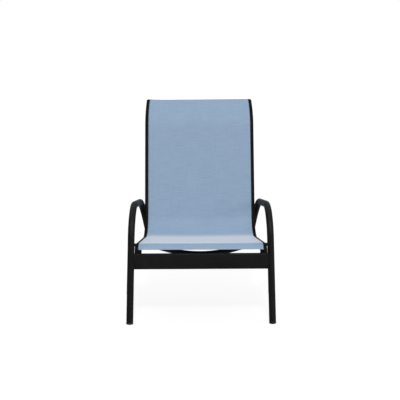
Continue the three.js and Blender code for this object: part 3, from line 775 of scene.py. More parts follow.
@dataclass(frozen=True)
class SlingWeave:
    """Blue-grey mesh of coated yarn, woven over and under, with slight slubs both ways.

    The tone adds up the height of the weave, the slubs and a soft cloud; the weave's height paints
    shade in its gaps and a highlight on its crowns. Where the cloth is seen at a glancing angle its
    colour turns towards a pale painted sheen.
    """

    name: str = "woven_sling_mesh"
    # The gap colour is painted shade in the weave's gaps and also the darker slubs; the crown
    # colour is a painted highlight on the yarns' crowns and also the paler slubs.
    gap: Colour = (0.130, 0.200, 0.296)
    yarn: Colour = (0.216, 0.311, 0.442)
    crown: Colour = (0.272, 0.371, 0.507)
    stops: tuple[float, ...] = (0.18, 0.58, 0.92)
    # Painted sheen: the pale colour that the cloth turns towards where it is seen at a glancing
    # angle, from and up to the next two facing shares.
    painted_sheen: Colour = (0.75, 0.79, 0.85)
    painted_sheen_from: float = 0.42
    painted_sheen_most: float = 0.72
    yarn_pitch: float = 0.0022
    # The share of the weave's height in the tone, which paints shade in the gaps and a highlight on
    # the crowns.
    weave_shade_share: float = 0.40
    slub_share: float = 0.70
    slubs_per_metre: float = 260.0
    slub_ends_per_metre: float = 14.0
    crosswise_share: float = 0.70
    lengthwise_share: float = 0.30
    cloud_per_metre: float = 11.0
    cloud_share: float = 0.10
    roughness: Point2 = (0.50, 0.64)
    specular: float = 0.45
    fuzz: float = 0.12
    fuzz_roughness: float = 0.45
    slub_height: float = 0.3
    relief: Relief = Relief(0.5, 0.0003)

    def make(self) -> bpy.types.Material:
        """Builds the material from the cloth's own map, which is in metres.

        Returns:
            The material.
        """
        nodes = Nodes(self.name)
        place = nodes.add("ShaderNodeUVMap", uv_map=CLOTH_MAP).outputs["UV"]
        height = self._weave(nodes, place)
        slubs = self._slubs(nodes, place)
        tone = self._tone(nodes, place, height, slubs)
        # Painted shade and highlight: the weave's height darkens its gaps and lightens its crowns
        # in this ramp.
        colour = nodes.ramp(tone, self.stops, self.gap, self.yarn, self.crown)
        # Painted sheen: from the Layer Weight's facing value, the base colour turns pale where the
        # cloth is seen at a glancing angle.
        turned_away = nodes.add("ShaderNodeLayerWeight", {"Blend": 0.5}).outputs["Facing"]
        painted_sheen_share = nodes.spread(
            turned_away,
            (self.painted_sheen_from, 1.0),
            (0.0, self.painted_sheen_most),
            interpolation_type="SMOOTHSTEP",
        )
        nodes.colour(nodes.mix(painted_sheen_share, colour, self.painted_sheen))
        rough = nodes.spread(slubs, (0.0, 1.0), self.roughness)
        nodes.put(nodes.shader.inputs["Roughness"], rough)
        nodes.shader.inputs["Specular IOR Level"].default_value = self.specular
        nodes.shader.inputs["Sheen Weight"].default_value = self.fuzz
        nodes.shader.inputs["Sheen Roughness"].default_value = self.fuzz_roughness
        raised = nodes.math("ADD", height, nodes.math("MULTIPLY", slubs, self.slub_height))
        nodes.bump(raised, self.relief)
        return nodes.material

    def _tone(
        self, nodes: Nodes, place: object, height: object, slubs: object
    ) -> bpy.types.NodeSocket:
        """Adds up what makes the cloth paler or darker: the weave's height paints shade in its gaps
        and a highlight on its crowns, and the slubs and the cloud are the yarn's own tone.

        Args:
            nodes: The material's nodes.
            place: The place on the cloth, in metres.
            height: The height of the weave.
            slubs: The slubs' value.

        Returns:
            The tone, from 0 in a gap with painted shade to about 1 on a pale crown with a painted
            highlight.
        """
        cloud = nodes.noise(place, self.cloud_per_metre, detail=3.0)
        # The weave's share of the tone paints shade in its gaps and a highlight on its crowns.
        woven = nodes.math("MULTIPLY", height, self.weave_shade_share)
        streaked = nodes.math("MULTIPLY", slubs, self.slub_share)
        clouded = nodes.math("MULTIPLY", nodes.math("SUBTRACT", cloud, 0.5), self.cloud_share)
        return nodes.math("ADD", nodes.math("ADD", woven, streaked), clouded)

    def _weave(self, nodes: Nodes, place: object) -> bpy.types.NodeSocket:
        """Gives the height of yarns that pass over and under each other.

        Args:
            nodes: The material's nodes.
            place: The place on the cloth, in metres.

        Returns:
            The height, from 0 in a gap to 1 on a crown.
        """
        split = nodes.add("ShaderNodeSeparateXYZ", {0: place})
        waves, cells = [], []
        for way in split.outputs[:2]:
            swing = nodes.math("SINE", nodes.math("MULTIPLY", way, math.pi / self.yarn_pitch))
            waves.append(nodes.math("ABSOLUTE", swing))
            cells.append(nodes.math("FLOOR", nodes.math("MULTIPLY", way, 1 / self.yarn_pitch)))
        warp, weft = waves
        over = nodes.math("ABSOLUTE", nodes.math("MODULO", nodes.math("ADD", *cells), 2.0))
        under = nodes.math("SUBTRACT", 1.0, over)
        warp_over = nodes.math("MULTIPLY", warp, over)
        weft_over = nodes.math("MULTIPLY", weft, under)
        crown = nodes.math("SQRT", nodes.math("ADD", warp_over, weft_over))
        from_gap = nodes.math("SQRT", nodes.math("MAXIMUM", warp, weft))
        return nodes.math("MULTIPLY", crown, from_gap)

    def _slubs(self, nodes: Nodes, place: object) -> bpy.types.NodeSocket:
        """Gives streaks of thicker and paler yarn both ways, most of them across the chair.

        Args:
            nodes: The material's nodes.
            place: The place on the cloth, in metres.

        Returns:
            The streaks' value, about 0.5 on average.
        """
        fine, coarse = self.slubs_per_metre, self.slub_ends_per_metre
        crosswise = ((coarse, fine, 1.0), self.crosswise_share)
        lengthwise = ((fine, coarse, 1.0), self.lengthwise_share)
        streaks = []
        for scale, share in (crosswise, lengthwise):
            stretched = nodes.add("ShaderNodeMapping", {"Vector": place, "Scale": scale})
            noise = nodes.noise(stretched.outputs["Vector"], 1.0)
            streaks.append(nodes.math("MULTIPLY", noise, share))
        return nodes.math("ADD", *streaks)


class Wardrobe:
    """The finished materials, and the way that a piece gets one."""

    def __init__(self) -> None:
        """Makes every material once."""
        self.coat = PowderCoat().make()
        self.rail_coat = RailCoat().make()
        self.plastic = MouldedPlastic().make()
        self.steel = BlackedSteel().make()
        self.spline = SplinePlastic().make()
        self.weave = SlingWeave().make()
        self.thread = SewingThread().make()

    def material_for(self, slot: Slot) -> bpy.types.Material:
        """Gives the material of a slot.

        Args:
            slot: The record's slot.

        Returns:
            Its material.
        """
        return {
            Slot.FRAME: self.coat,
            Slot.RAIL: self.rail_coat,
            Slot.SLING: self.weave,
            Slot.MOULDED: self.plastic,
            Slot.FASTENER: self.steel,
            Slot.SPLINE: self.spline,
        }[slot]

    def dress(
        self,
        piece: bpy.types.Object,
        slot: Slot,
        *nodes: str,
        material: bpy.types.Material | None = None,
    ) -> bpy.types.Object:
        """Gives a piece the material of its slot, puts it in the root body and hides the nodes that
        it stands for.

        Args:
            piece: The piece.
            slot: The record's slot for its finish.
            *nodes: The nodes that it replaces, if any.
            material: A material in place of the slot's own.

        Returns:
            The piece.
        """
        piece.data.materials.clear()
        piece.data.materials.append(material or self.material_for(slot))
        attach(piece, "root")
        if nodes:
            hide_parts(*nodes)
        LOG.info("%s made with %d faces", piece.name, len(piece.data.polygons))
        return piece


@dataclass
class RailLine:
    """The line of the sling rails, which the sling, spreaders and under-seat pieces follow."""

    origin_y: float
    width: float = 0.03175
    height: float = 0.0254
    groove_offset: float = 0.002
    chamber_middle: float = -0.0056
    front_y: float = 0.0235
    foot_z: float = 0.3270
    front_half_spacing: float = 0.28550
    back_half_spacing: float = 0.25610
    front_corner_height: float = 0.3562
    front_bend_radius: float = 0.02535
    seat_slope: float = math.radians(6.1)
    seat_corner_y: float = 0.474
    seat_bend_radius: float = 0.130
    recline: float = math.radians(19.0)
    head_rise: float = 0.5870
    head_turn: float = math.radians(32.0)
    head_bend_radius: float = 0.200
    head_run: float = 0.100
    head_toe_in: float = 0.0053
    seat_corner_z: float = field(init=False)
    route: Route = field(init=False)

    def __post_init__(self) -> None:
        """Works out the route of the right rail's centre line."""
        drop = math.tan(self.seat_slope) * (self.seat_corner_y - self.front_y)
        self.seat_corner_z = self.front_corner_height - drop
        head_y = self.seat_corner_y + self.head_rise * math.tan(self.recline)
        head_z = self.seat_corner_z + self.head_rise
        lean = self.recline + self.head_turn
        top_y = head_y + self.head_run * math.sin(lean)
        top_z = head_z + self.head_run * math.cos(lean)
        corners = [
            (self.front_half_spacing, self.front_y, self.foot_z),
            (self.front_half_spacing, self.front_y, self.front_corner_height),
            (self.back_half_spacing, self.seat_corner_y, self.seat_corner_z),
            (self.back_half_spacing, head_y, head_z),
            (self.back_half_spacing - self.head_toe_in, top_y, top_z),
        ]
        radii = [self.front_bend_radius, self.seat_bend_radius, self.head_bend_radius]
        self.route = Route.bent([Vector((x, y + self.origin_y, z)) for x, y, z in corners], radii)

    def seat_at(self, y: float) -> Station:
        """Gives the seat's part of the rail's line at a distance behind the front feet."""
        return self.route.where(1, self.origin_y + y, from_end=False)


@dataclass
class BaseLines:
    """The lines of the welded base, for the side at +X, and the sizes of its bars."""

    rail: RailLine
    leg_radius: float = 0.015875
    rear_radius: float = 0.0127
    foot_half_spacing: float = 0.327
    arm_corners: tuple[tuple[float, float, float], ...] = (
        (0.3128, 0.0435, 0.5408),
        (0.2910, 0.5900, 0.4719),
    )
    arm_return: Point2 = (0.249, 0.560)
    arm_return_fall: float = 0.0084
    saddle_crown: float = 0.002
    arm_radii: tuple[float, ...] = (0.144, 0.101, 0.072)
    arm_end_setback: float = 0.049
    bar_top: float = 0.3234
    bar_height: float = 0.070
    bar_depth: float = 0.0254
    rear_bar_y: float = 0.310
    rear_bar_height: float = 0.0127
    rear_bar_depth: float = 0.0381
    stretcher_height: float = 0.1676
    stretcher_radius: float = 0.0127
    rear_corner: Point2 = (0.3443, 0.462)
    rear_foot: Point2 = (0.3598, 0.575)
    rear_bend_radius: float = 0.085
    glide_collar: float = 0.009
    arm_bolt_inset: float = 0.024
    gap: float = 0.0003
    foot: Vector = field(init=False)
    leg_direction: Vector = field(init=False)
    arm: Route = field(init=False)
    arm_end: Vector = field(init=False)
    arm_end_direction: Vector = field(init=False)
    rear_bar: Vector = field(init=False)
    side_run_start: Vector = field(init=False)
    side_run_direction: Vector = field(init=False)
    rear_foot_point: Vector = field(init=False)
    rear_leg_direction: Vector = field(init=False)
    rear_leg: Route = field(init=False)

    def __post_init__(self) -> None:
        """Works out every line from the rail's line and the corners."""
        self.foot = self.place(self.foot_half_spacing, 0.0, 0.0)
        first, second = (self.place(*corner) for corner in self.arm_corners)
        self.leg_direction = (first - self.foot).normalized()
        slope = math.cos(self.rail.seat_slope)
        below_rail = self.rail.height / 2 / slope + self.gap
        end_y = self.rear_bar_y + self.rear_bar_depth / 2 + self.arm_end_setback
        over_end = self.rail.seat_at(end_y).point
        saddle = self.saddle_crown + self.gap
        self.arm_end = over_end - UPWARD * (below_rail + saddle + self.leg_radius / slope)
        third = self.place(*self.arm_return, self.arm_end.z - self.arm_return_fall)
        self.arm_end_direction = (third - self.arm_end).normalized()
        start = self.foot + self.leg_direction * (self.glide_collar + self.gap)
        self.arm = Route.bent([start, first, second, third, self.arm_end], self.arm_radii)

        over_bar = self.rail.seat_at(self.rear_bar_y).point
        self.rear_bar = over_bar - UPWARD * (below_rail + self.rear_bar_height / 2 / slope)
        self.side_run_start = self.leg_at(self._side_run_height(self.rail.front_y))
        corner_x, corner_y = self.rear_corner
        corner = self.place(corner_x, corner_y, self._side_run_height(corner_y))
        self.side_run_direction = (corner - self.side_run_start).normalized()
        self.rear_foot_point = self.place(*self.rear_foot, 0.0)
        self.rear_leg_direction = (corner - self.rear_foot_point).normalized()
        end = self.rear_foot_point + self.rear_leg_direction * (self.glide_collar + self.gap)
        inside_leg = self.leg_radius / 4
        begin = self.side_run_start + self.side_run_direction * inside_leg
        self.rear_leg = Route.bent([begin, corner, end], [self.rear_bend_radius])

    def place(self, x: float, y: float, z: float) -> Vector:
        """Turns a place measured from the front feet into one in the chair's frame."""
        return Vector((x, y + self.rail.origin_y, z))

    def _side_run_height(self, y: float) -> float:
        """Gives the height of the rear leg's upper run at a distance behind the front feet."""
        return self.rear_bar.z + math.tan(self.rail.seat_slope) * (self.rear_bar_y - y)

    def leg_at(self, height: float) -> Vector:
        """Gives the middle of the right front leg at a height."""
        return self.foot + self.leg_direction * (height / self.leg_direction.z)

    def rear_leg_at(self, height: float) -> Vector:
        """Gives the middle of the right rear leg at a height on its straight lower part."""
        return self.rear_foot_point + self.rear_leg_direction * (height / self.rear_leg_direction.z)

    def arm_run_at(self, y: float) -> Vector:
        """Gives the middle of the right arm tube's end run at a place along Y."""
        share = (y - self.arm_end.y) / self.arm_end_direction.y
        return self.arm_end + self.arm_end_direction * share

    def rail_underside_at(self, y: float) -> float:
        """Gives the height of the rail's underside on the seat at a place along Y."""
        above = self.rail.seat_at(y - self.rail.origin_y)
        return above.point.z - self.rail.height / 2 / above.tangent.y

    def arm_bolt_place(self) -> Vector:
        """Gives the place where the bolt passes through the arm tube's end run.

        Returns:
            The place, in the middle of the tube's height and right under the rail.
        """
        y = self.arm_end.y + self.arm_bolt_inset
        above = self.rail.seat_at(y - self.rail.origin_y).point
        return Vector((above.x, y, self.arm_run_at(y).z))


def weld_bead(
    name: str, line: Sequence[Vector], centre: Vector, side: Side, radius: float = 0.0021
) -> bpy.types.Object:
    """Lays a rippled weld bead along a closed line round a joint.

    Args:
        name: The bead's name.
        line: Points of the closed line, in order, on the right side.
        centre: A point inside the line, which the bead bulges away from.
        side: The side that it goes on.
        radius: The bead's mean radius.

    Returns:
        The bead.
    """
    spacing, ripple, swell, sides = 0.0011, 0.0042, 0.13, 8
    fewest_rings, fewest_ripples = 24, 4
    spans = [(b - a).length for a, b in zip(line, [*line[1:], line[0]])]
    total = sum(spans)
    count = max(fewest_rings, int(total / spacing))
    ripples = max(fewest_ripples, round(total / ripple))
    points = []
    index, passed = 0, 0.0
    for k in range(count):
        target = total * k / count
        while passed + spans[index] < target:
            passed += spans[index]
            index += 1
        share = (target - passed) / spans[index]
        points.append(line[index].lerp(line[(index + 1) % len(line)], share))
    rings = []
    for k, point in enumerate(points):
        tangent = (points[(k + 1) % count] - points[k - 1]).normalized()
        outward = point - centre
        outward = (outward - tangent * outward.dot(tangent)).normalized()
        around = tangent.cross(outward)
        here = radius * (1 + swell * math.cos(math.tau * ripples * k / count))
        rings.append([point + outward * x + around * y for x, y in circle(here, sides)])
    return lofted(name, rings, side, closed=True)


@dataclass
class BaseFrame:
    """The welded base: arm tubes, rear legs, the bars between the sides, and the weld beads.

    The bar_bite is the share of a tube's radius that the end of a bar reaches into the tube.
    """

    lines: BaseLines
    wardrobe: Wardrobe
    tube_sides: int = 44
    tube_step: float = 0.003
    leg_weld_points: int = 48
    bar_steps: int = 40
    bar_corner: float = 0.003
    bar_bite: float = 0.7
    stretcher_sides: int = 36

    def build(self) -> None:
        """Builds every tube, bar and weld."""
        for side in Side:
            self._tube(side, "arm_tube", self.lines.arm, self.lines.leg_radius)
            self._tube(side, "rear_leg", self.lines.rear_leg, self.lines.rear_radius)
            self._leg_weld(side)
        self._front_crossbar()
        self._rear_crossbar()
        self._stretcher()

    def _tube(self, side: Side, kind: str, route: Route, radius: float) -> None:
        """Builds one bent tube in place of its node.

        Args:
            side: The side that it goes on.
            kind: The end of its name.
            route: Its middle line on the right side.
            radius: Its radius.
        """
        even = route.even(0.0, route.length, self.tube_step)
        tube = swept(f"{side.value}_{kind}_bent", circle(radius, self.tube_sides), even, side)
        self.wardrobe.dress(tube, Slot.FRAME, f"{side.value}_{kind}")

    def _leg_weld(self, side: Side) -> None:
        """Lays the bead where a rear leg's upper run meets the front leg.

        Args:
            side: The side that it goes on.
        """
        lines = self.lines
        along = lines.side_run_direction
        sideways = along.cross(UPWARD).normalized()
        rise = sideways.cross(along)
        line = [
            surface_hit(
                lines.side_run_start + sideways * x + rise * y,
                along,
                lines.foot,
                lines.leg_direction,
                lines.leg_radius,
                far=True,
            )
            for x, y in circle(lines.rear_radius, self.leg_weld_points)
        ]
        centre = lines.side_run_start + along * lines.leg_radius
        self._bead(side, "side_run_weld", line, centre)

    def _bead(self, side: Side, kind: str, line: Sequence[Vector], centre: Vector) -> None:
        """Lays one bead and coats it as the frame is coated."""
        bead = weld_bead(f"{side.value}_{kind}", line, centre, side)
        self.wardrobe.dress(bead, Slot.FRAME)

    def _bar(
        self,
        name: str,
        section: Sequence[Point2],
        middle: Vector,
        tilt: float,
        member: tuple[Vector, Vector, float],
    ) -> None:
        """Builds a bar across the chair, and the beads at its two ends.

        Args:
            name: The bar's node.
            section: Its outline, as depth and height.
            middle: Its middle.
            tilt: How far its section is turned about X.
            member: A point, the direction and the radius of the right tube that it meets.
        """
        turn = Matrix.Rotation(tilt, 3, "X")
        outline = [turn @ Vector((0.0, y, z)) for y, z in section]
        radius = member[2]
        meeting = surface_hit(middle, ACROSS, *member, far=False)
        reach = meeting.x + radius * self.bar_bite
        rings = []
        for k in range(self.bar_steps + 1):
            x = reach * (2 * k / self.bar_steps - 1)
            rings.append([middle + offset + ACROSS * x for offset in outline])
        self.wardrobe.dress(lofted(f"{name}_bar", rings), Slot.FRAME, name)
        line = [surface_hit(middle + offset, ACROSS, *member, far=False) for offset in outline]
        centre = middle + ACROSS * (reach - radius)
        for side in Side:
            self._bead(side, f"{name}_weld", line, centre)

    def _front_crossbar(self) -> None:
        """Builds the wide flat bar between the front legs."""
        lines = self.lines
        section = rounded_rectangle(lines.bar_depth, lines.bar_height, self.bar_corner)
        middle = lines.place(0.0, lines.rail.front_y, lines.bar_top - lines.bar_height / 2)
        member = (lines.foot, lines.leg_direction, lines.leg_radius)
        self._bar("front_crossbar", section, middle, 0.0, member)

    def _rear_crossbar(self) -> None:
        """Builds the flat bar under the seat, between the rear legs' upper runs."""
        lines = self.lines
        section = rounded_rectangle(lines.rear_bar_depth, lines.rear_bar_height, self.bar_corner)
        middle = lines.place(0.0, lines.rear_bar_y, lines.rear_bar.z)
        member = (lines.side_run_start, lines.side_run_direction, lines.rear_radius)
        self._bar("rear_crossbar", section, middle, -lines.rail.seat_slope, member)

    def _stretcher(self) -> None:
        """Builds the round bar between the rear legs."""
        lines = self.lines
        end = lines.rear_leg_at(lines.stretcher_height)
        member = (end, lines.rear_leg_direction, lines.rear_radius)
        middle = Vector((0.0, end.y, end.z))
        section = circle(lines.stretcher_radius, self.stretcher_sides)
        self._bar("rear_stretcher", section, middle, 0.0, member)


@dataclass
class SlingRails:
    """The two grooved rails with their caps, plugs and spline rods.

    Each of foot_plug_levels and cap_foot_levels gives a height along the rail, and the share of
    the rail's outline that the piece has there.
    """

    line: RailLine
    wardrobe: Wardrobe
    corner: float = 0.007
    corner_steps: int = 8
    mouth: float = 0.004
    mouth_edge: float = 0.0005
    lip: float = 0.0024
    bore: float = 0.0047
    bore_steps: int = 22
    step: float = 0.005
    foot_plug_levels: tuple[Point2, ...] = (
        (-0.0033, 0.97),
        (-0.0030, 1.0),
        (-0.0003, 1.0),
        (0.0, 0.97),
    )
    cap_foot_levels: tuple[Point2, ...] = ((0.0, 0.985), (0.0003, 0.995))
    cap_height: float = 0.0087
    cap_narrowing: float = 0.38
    cap_roundness: float = 2.2
    cap_steps: int = 14
    cap_corner_steps: int = 10
    spline_radius: float = 0.0025
    spline_sides: int = 20
    spline_start: float = 0.0115
    spline_top_gap: float = 0.0003

    def build(self) -> None:
        """Builds both sides."""
        for side in Side:
            self._rail(side)
            self._foot_plug(side)
            self._top_cap(side)
            self._spline(side)

    @property
    def groove_centre(self) -> float:
        """The height of the groove's middle above the rail's centre line."""
        return self.line.height / 2 - self.lip - self.bore

    def _section(self) -> list[Point2]:
        """Gives the rail's outline, with the groove in its upper face.

        Returns:
            The outline's points, anticlockwise.
        """
        corner, steps, edge, quarter = self.corner, self.corner_steps, self.mouth_edge, math.pi / 2
        top, half_mouth, shift = self.line.height / 2, self.mouth / 2, self.line.groove_offset
        x, y = self.line.width / 2 - corner, top - corner
        half_open = math.asin(half_mouth / self.bore)
        first, last = quarter - half_open, half_open - 3 * quarter
        return [
            *arc((-x, -y), corner, 2 * quarter, 3 * quarter, steps),
            *arc((x, -y), corner, -quarter, 0.0, steps),
            *arc((x, y), corner, 0.0, quarter, steps),
            (shift + half_mouth + edge, top),
            (shift + half_mouth, top - edge),
            *arc((shift, self.groove_centre), self.bore, first, last, self.bore_steps),
            (shift - half_mouth, top - edge),
            (shift - half_mouth - edge, top),
            *arc((-x, y), corner, quarter, 2 * quarter, steps),
        ]

    @staticmethod
    def _stacked(
        outline: Sequence[Point2], end: Station, out: Vector, levels: Sequence[Point2]
    ) -> list[Ring]:
        """Stacks one outline at levels beyond an end of the rail.

        Args:
            outline: The outline, as places across and out.
            end: The rail's end.
            out: The direction of the outline's second value.
            levels: The height along the rail and the outline's share at each level.

        Returns:
            One ring of points for each level.
        """
        rings = []
        for rise, share in levels:
            middle = end.point + end.tangent * rise
            rings.append([middle - ACROSS * x * share + out * y * share for x, y in outline])
        return rings

    def _rail(self, side: Side) -> None:
        """Builds one rail in place of its node.

        Args:
            side: The side that it goes on.
        """
        route = self.line.route.even(0.0, self.line.route.length, self.step)
        rail = swept(f"{side.value}_rail_extrusion", self._section(), route, side, -ACROSS)
        self.wardrobe.dress(rail, Slot.RAIL, f"{side.value}_sling_rail")

    def _foot_plug(self, side: Side) -> None:
        """Builds the plug under a rail's front end.

        Args:
            side: The side that it goes on.
        """
        foot = self.line.route.stations[0]
        outline = rounded_rectangle(self.line.width, self.line.height, self.corner)
        forwards = Vector((0.0, -1.0, 0.0))
        rings = self._stacked(outline, foot, forwards, self.foot_plug_levels)
        plug = lofted(f"{side.value}_foot_plug_plate", rings, side)
        self.wardrobe.dress(plug, Slot.MOULDED, f"{side.value}_rail_foot_plug")

    def _top_cap(self, side: Side) -> None:
        """Builds the domed cap on a rail's top.

        Args:
            side: The side that it goes on.
        """
        top = self.line.route.stations[-1]
        outline = rounded_rectangle(
            self.line.width, self.line.height, self.corner, steps=self.cap_corner_steps
        )
        levels = list(self.cap_foot_levels)
        for k in range(1, self.cap_steps + 1):
            share = math.sin(math.pi / 2 * k / self.cap_steps)
            fall = 1.0 - math.sqrt(1.0 - share**self.cap_roundness)
            levels.append((self.cap_height * share, 1.0 - self.cap_narrowing * fall))
        rings = self._stacked(outline, top, face_normal(top.tangent), levels)
        cap = lofted(f"{side.value}_cap_dome", rings, side)
        self.wardrobe.dress(cap, Slot.MOULDED, f"{side.value}_rail_top_cap")

    def _spline(self, side: Side) -> None:
        """Builds the rod that locks the cloth in the groove.

        Args:
            side: The side that it goes on.
        """
        end = self.line.route.length - self.spline_top_gap
        route = self.line.route.even(self.spline_start, end, self.step)
        centre = (self.line.groove_offset, self.groove_centre)
        section = circle(self.spline_radius, self.spline_sides, centre)
        rod = swept(f"{side.value}_spline_length", section, route, side, -ACROSS)
        self.wardrobe.dress(rod, Slot.SPLINE, f"{side.value}_spline_rod")


@dataclass
class Sling:
    """The stretched cloth with its hems and stitches.

    The bead_reach is the share of the hem tube's radius that the cloth's edge ends above its
    middle. The stitch_shape gives places along a stitch, and the share of the thread's radius
    there. The thread_proud is the share of that radius that its middle stands off the cloth.
    """

    line: RailLine
    groove_centre: float
    wardrobe: Wardrobe
    thickness: float = 0.0012
    lift: float = 0.0004
    sag: float = 0.004
    front_inset: float = 0.0117
    top_inset: float = 0.0005
    hem: float = 0.022
    side_hem: float = 0.032
    step: float = 0.005
    area_steps: int = 60
    edge_bend: float = 0.0013
    edge_bend_steps: int = 5
    columns: int = 20
    bead_radius: float = 0.0041
    bead_reach: float = 0.8
    bead_steps: int = 28
    bead_opening: Point2 = (math.radians(110), math.radians(430))
    fold_gap: float = 0.00005
    fold_thickness: float = 0.0010
    fold_edge_share: float = 0.55
    fold_side_gap: float = 0.001
    stitch_pitch: float = 0.0044
    stitch_length: float = 0.0033
    stitch_sides: int = 6
    stitch_shape: tuple[Point2, ...] = ((0.0, 0.35), (0.18, 1.0), (0.82, 1.0), (1.0, 0.35))
    thread_radius: float = 0.00030
    thread_proud: float = 0.4
    row_inset: float = 0.003
    row_side_gap: float = 0.002
    rail_row_inset: float = 0.0105
    start: float = field(init=False)
    end: float = field(init=False)
    middle_height: float = field(init=False)

    def __post_init__(self) -> None:
        """Works out where the cloth starts and ends, and how high its middle lies."""
        self.start = self.front_inset
        self.end = self.line.route.length - self.top_inset
        self.middle_height = self.line.height / 2 + self.lift + self.thickness / 2

    def build(self) -> None:
        cloth = self._cloth()
        self.wardrobe.dress(cloth, Slot.SLING, "sling")
        companions = [self._bead(side) for side in Side]
        companions.append(self._band("front_hem_fold", self.start, self.start + self.hem))
        companions.append(self._band("top_hem_fold", self.end - self.hem, self.end))
        for piece in companions:
            self.wardrobe.dress(piece, Slot.SLING)
        stitches = self._stitches()
        self.wardrobe.dress(stitches, Slot.SLING, material=self.wardrobe.thread)
        companions.append(stitches)
        length = self.end - self.start + 2 * self.hem
        self._flat_area(length)

    def _flat_area(self, length: float) -> float:
        """Gives the area that the cloth was cut to, which is narrower at the back.

        Args:
            length: The flat cloth's length, with its hems.

        Returns:
            The area, in square metres.
        """
        steps = self.area_steps
        stretch = self.end - self.start
        widths = [
            2 * (self._groove_x(self.start + stretch * k / steps) + self.side_hem)
            for k in range(steps + 1)
        ]
        return length * sum(widths) / len(widths)

    def _groove_x(self, distance: float) -> float:
        """Gives the place across of the right rail's groove at a distance along the rails."""
        return self.line.route.at(distance).point.x - self.line.groove_offset

    def _height(self, x: float, half: float, distance: float) -> float:
        """Gives the height of the cloth's middle above the rails' centre lines.

        Args:
            x: The place across the chair.
            half: Half the spacing of the rails there.
            distance: The place along the rails.

        Returns:
            The height, with the sag of the cloth between the rails.
        """
        clear = half - self.line.width / 2
        share = min(abs(x) / clear, 1.0)
        along = (distance - self.start) / (self.end - self.start)
        sag = self.sag * math.sin(math.pi * min(max(along, 0.0), 1.0))
        return self.middle_height - sag * (1 - share * share)

    def _point(self, x: float, distance: float, above: float) -> Vector:
        """Gives a point at a height above or below the cloth's middle.

        Args:
            x: The place across the chair.
            distance: The place along the rails.
            above: The height above the middle of the cloth's thickness.

        Returns:
            The point.
        """
        station = self.line.route.at(distance)
        out = face_normal(station.tangent)
        rise = self._height(x, station.point.x, distance) + above
        return Vector((x, station.point.y + out.y * rise, station.point.z + out.z * rise))

    def _profile(self, half: float) -> list[tuple[float, float, float]]:
        """Lists the middle line of the cloth from the right groove to the chair's middle.

        Args:
            half: Half the spacing of the grooves.

        Returns:
            Place across, height below the flat part and direction of the line, in radians.
        """
        bend, columns = self.edge_bend, self.columns
        inside = self.middle_height - self.groove_centre - self.bead_radius * self.bead_reach
        points = [(half, inside, math.pi / 2), (half, bend, math.pi / 2)]
        for k in range(1, self.edge_bend_steps + 1):
            turn = math.pi / 2 * k / self.edge_bend_steps
            drop = bend * (1 - math.sin(turn))
            points.append((half - bend * (1 - math.cos(turn)), drop, math.pi / 2 + turn))
        inner = half - bend
        points.extend((inner * (1 - k / columns), 0.0, math.pi) for k in range(1, columns + 1))
        return points

    def _cloth(self) -> bpy.types.Object:
        """Builds the cloth as one closed thin body with a map in metres.

        Returns:
            The cloth.
        """
        count = math.ceil((self.end - self.start) / self.step)
        points, places = [], []
        for row in range(count + 1):
            ring, ring_places = self._cloth_ring(row / count)
            points.extend(ring)
            places.extend(ring_places)
        cloth = mesh_piece("sling_cloth", points, loft_faces(count + 1, len(points) // (count + 1)))
        self._map(cloth, places)
        return cloth

    def _cloth_ring(self, share: float) -> tuple[Ring, list[Point2]]:
        """Goes once round the cloth's section, over its face and back under it.

        Args:
            share: The place along the cloth, from 0 at the front to 1 at the top.

        Returns:
            The points, and each one's place on the flat cloth.
        """
        distance = self.start + (self.end - self.start) * share
        half = self._groove_x(distance)
        line = self._profile(half)
        full = [*line, *[(-x, drop, math.tau - turn) for x, drop, turn in reversed(line[:-1])]]
        run = [0.0]
        for a, b in zip(full, full[1:]):
            run.append(run[-1] + math.hypot(a[0] - b[0], a[1] - b[1]))
        middle = run[-1] / 2
        ring, places = [], []
        for layer, order in ((1, range(len(full))), (-1, reversed(range(len(full))))):
            for index in order:
                x, drop, turn = full[index]
                offset = Vector((math.sin(turn), -math.cos(turn))) * (self.thickness / 2) * layer
                reach = distance + self._edge_lift(x, half, share)
                base = self._point(x, reach, offset.y - drop)
                ring.append(Vector((x + offset.x, base.y, base.z)))
                places.append((run[index] - middle, distance))
        return ring, places

    @staticmethod
    def _edge_lift(x: float, half: float, share: float) -> float:
        """Gives how much further the cloth's top edge reaches over the rails.

        Args:
            x: The place across the chair.
            half: Half the spacing of the grooves.
            share: The place along the cloth, from 0 at the front to 1 at the top.

        Returns:
            The distance, which is 0 between the rails and below the top edge.
        """
        reach, inset, blend = 0.0030, 0.022, 0.012
        lift_from, lift_over = 0.97, 0.03
        closeness = min(max((abs(x) - (half - inset)) / blend, 0.0), 1.0)
        rise = min(max((share - lift_from) / lift_over, 0.0), 1.0)
        return reach * closeness * closeness * (3 - 2 * closeness) * rise

    @staticmethod
    def _map(piece: bpy.types.Object, places: Sequence[Point2]) -> None:
        """Writes each point's place on the flat cloth into the piece's map.

        Args:
            piece: The piece.
            places: The place of each of its points, in metres.
        """
        layer = piece.data.uv_layers.new(name=CLOTH_MAP)
        for loop in piece.data.loops:
            layer.data[loop.index].uv = places[loop.vertex_index]

    def _bead(self, side: Side) -> bpy.types.Object:
        """Builds the hem tube that the spline rod fills, inside the groove.

        Args:
            side: The side that it goes on.

        Returns:
            The hem tube.
        """
        centre, steps = (self.line.groove_offset, self.groove_centre), self.bead_steps
        first, last = self.bead_opening
        outer = arc(centre, self.bead_radius, first, last, steps)
        inner = arc(centre, self.bead_radius - self.thickness, last, first, steps)
        route = self.line.route.even(self.start, self.end, self.step)
        section = [*outer, *inner]
        bead = swept(f"{side.value}_hem_tube", section, route, side, -ACROSS)
        around = math.tau * self.bead_radius
        places = [
            (around * (k % (steps + 1)) / steps, distance)
            for distance in route.distances
            for k in range(len(section))
        ]
        self._map(bead, places)
        return bead

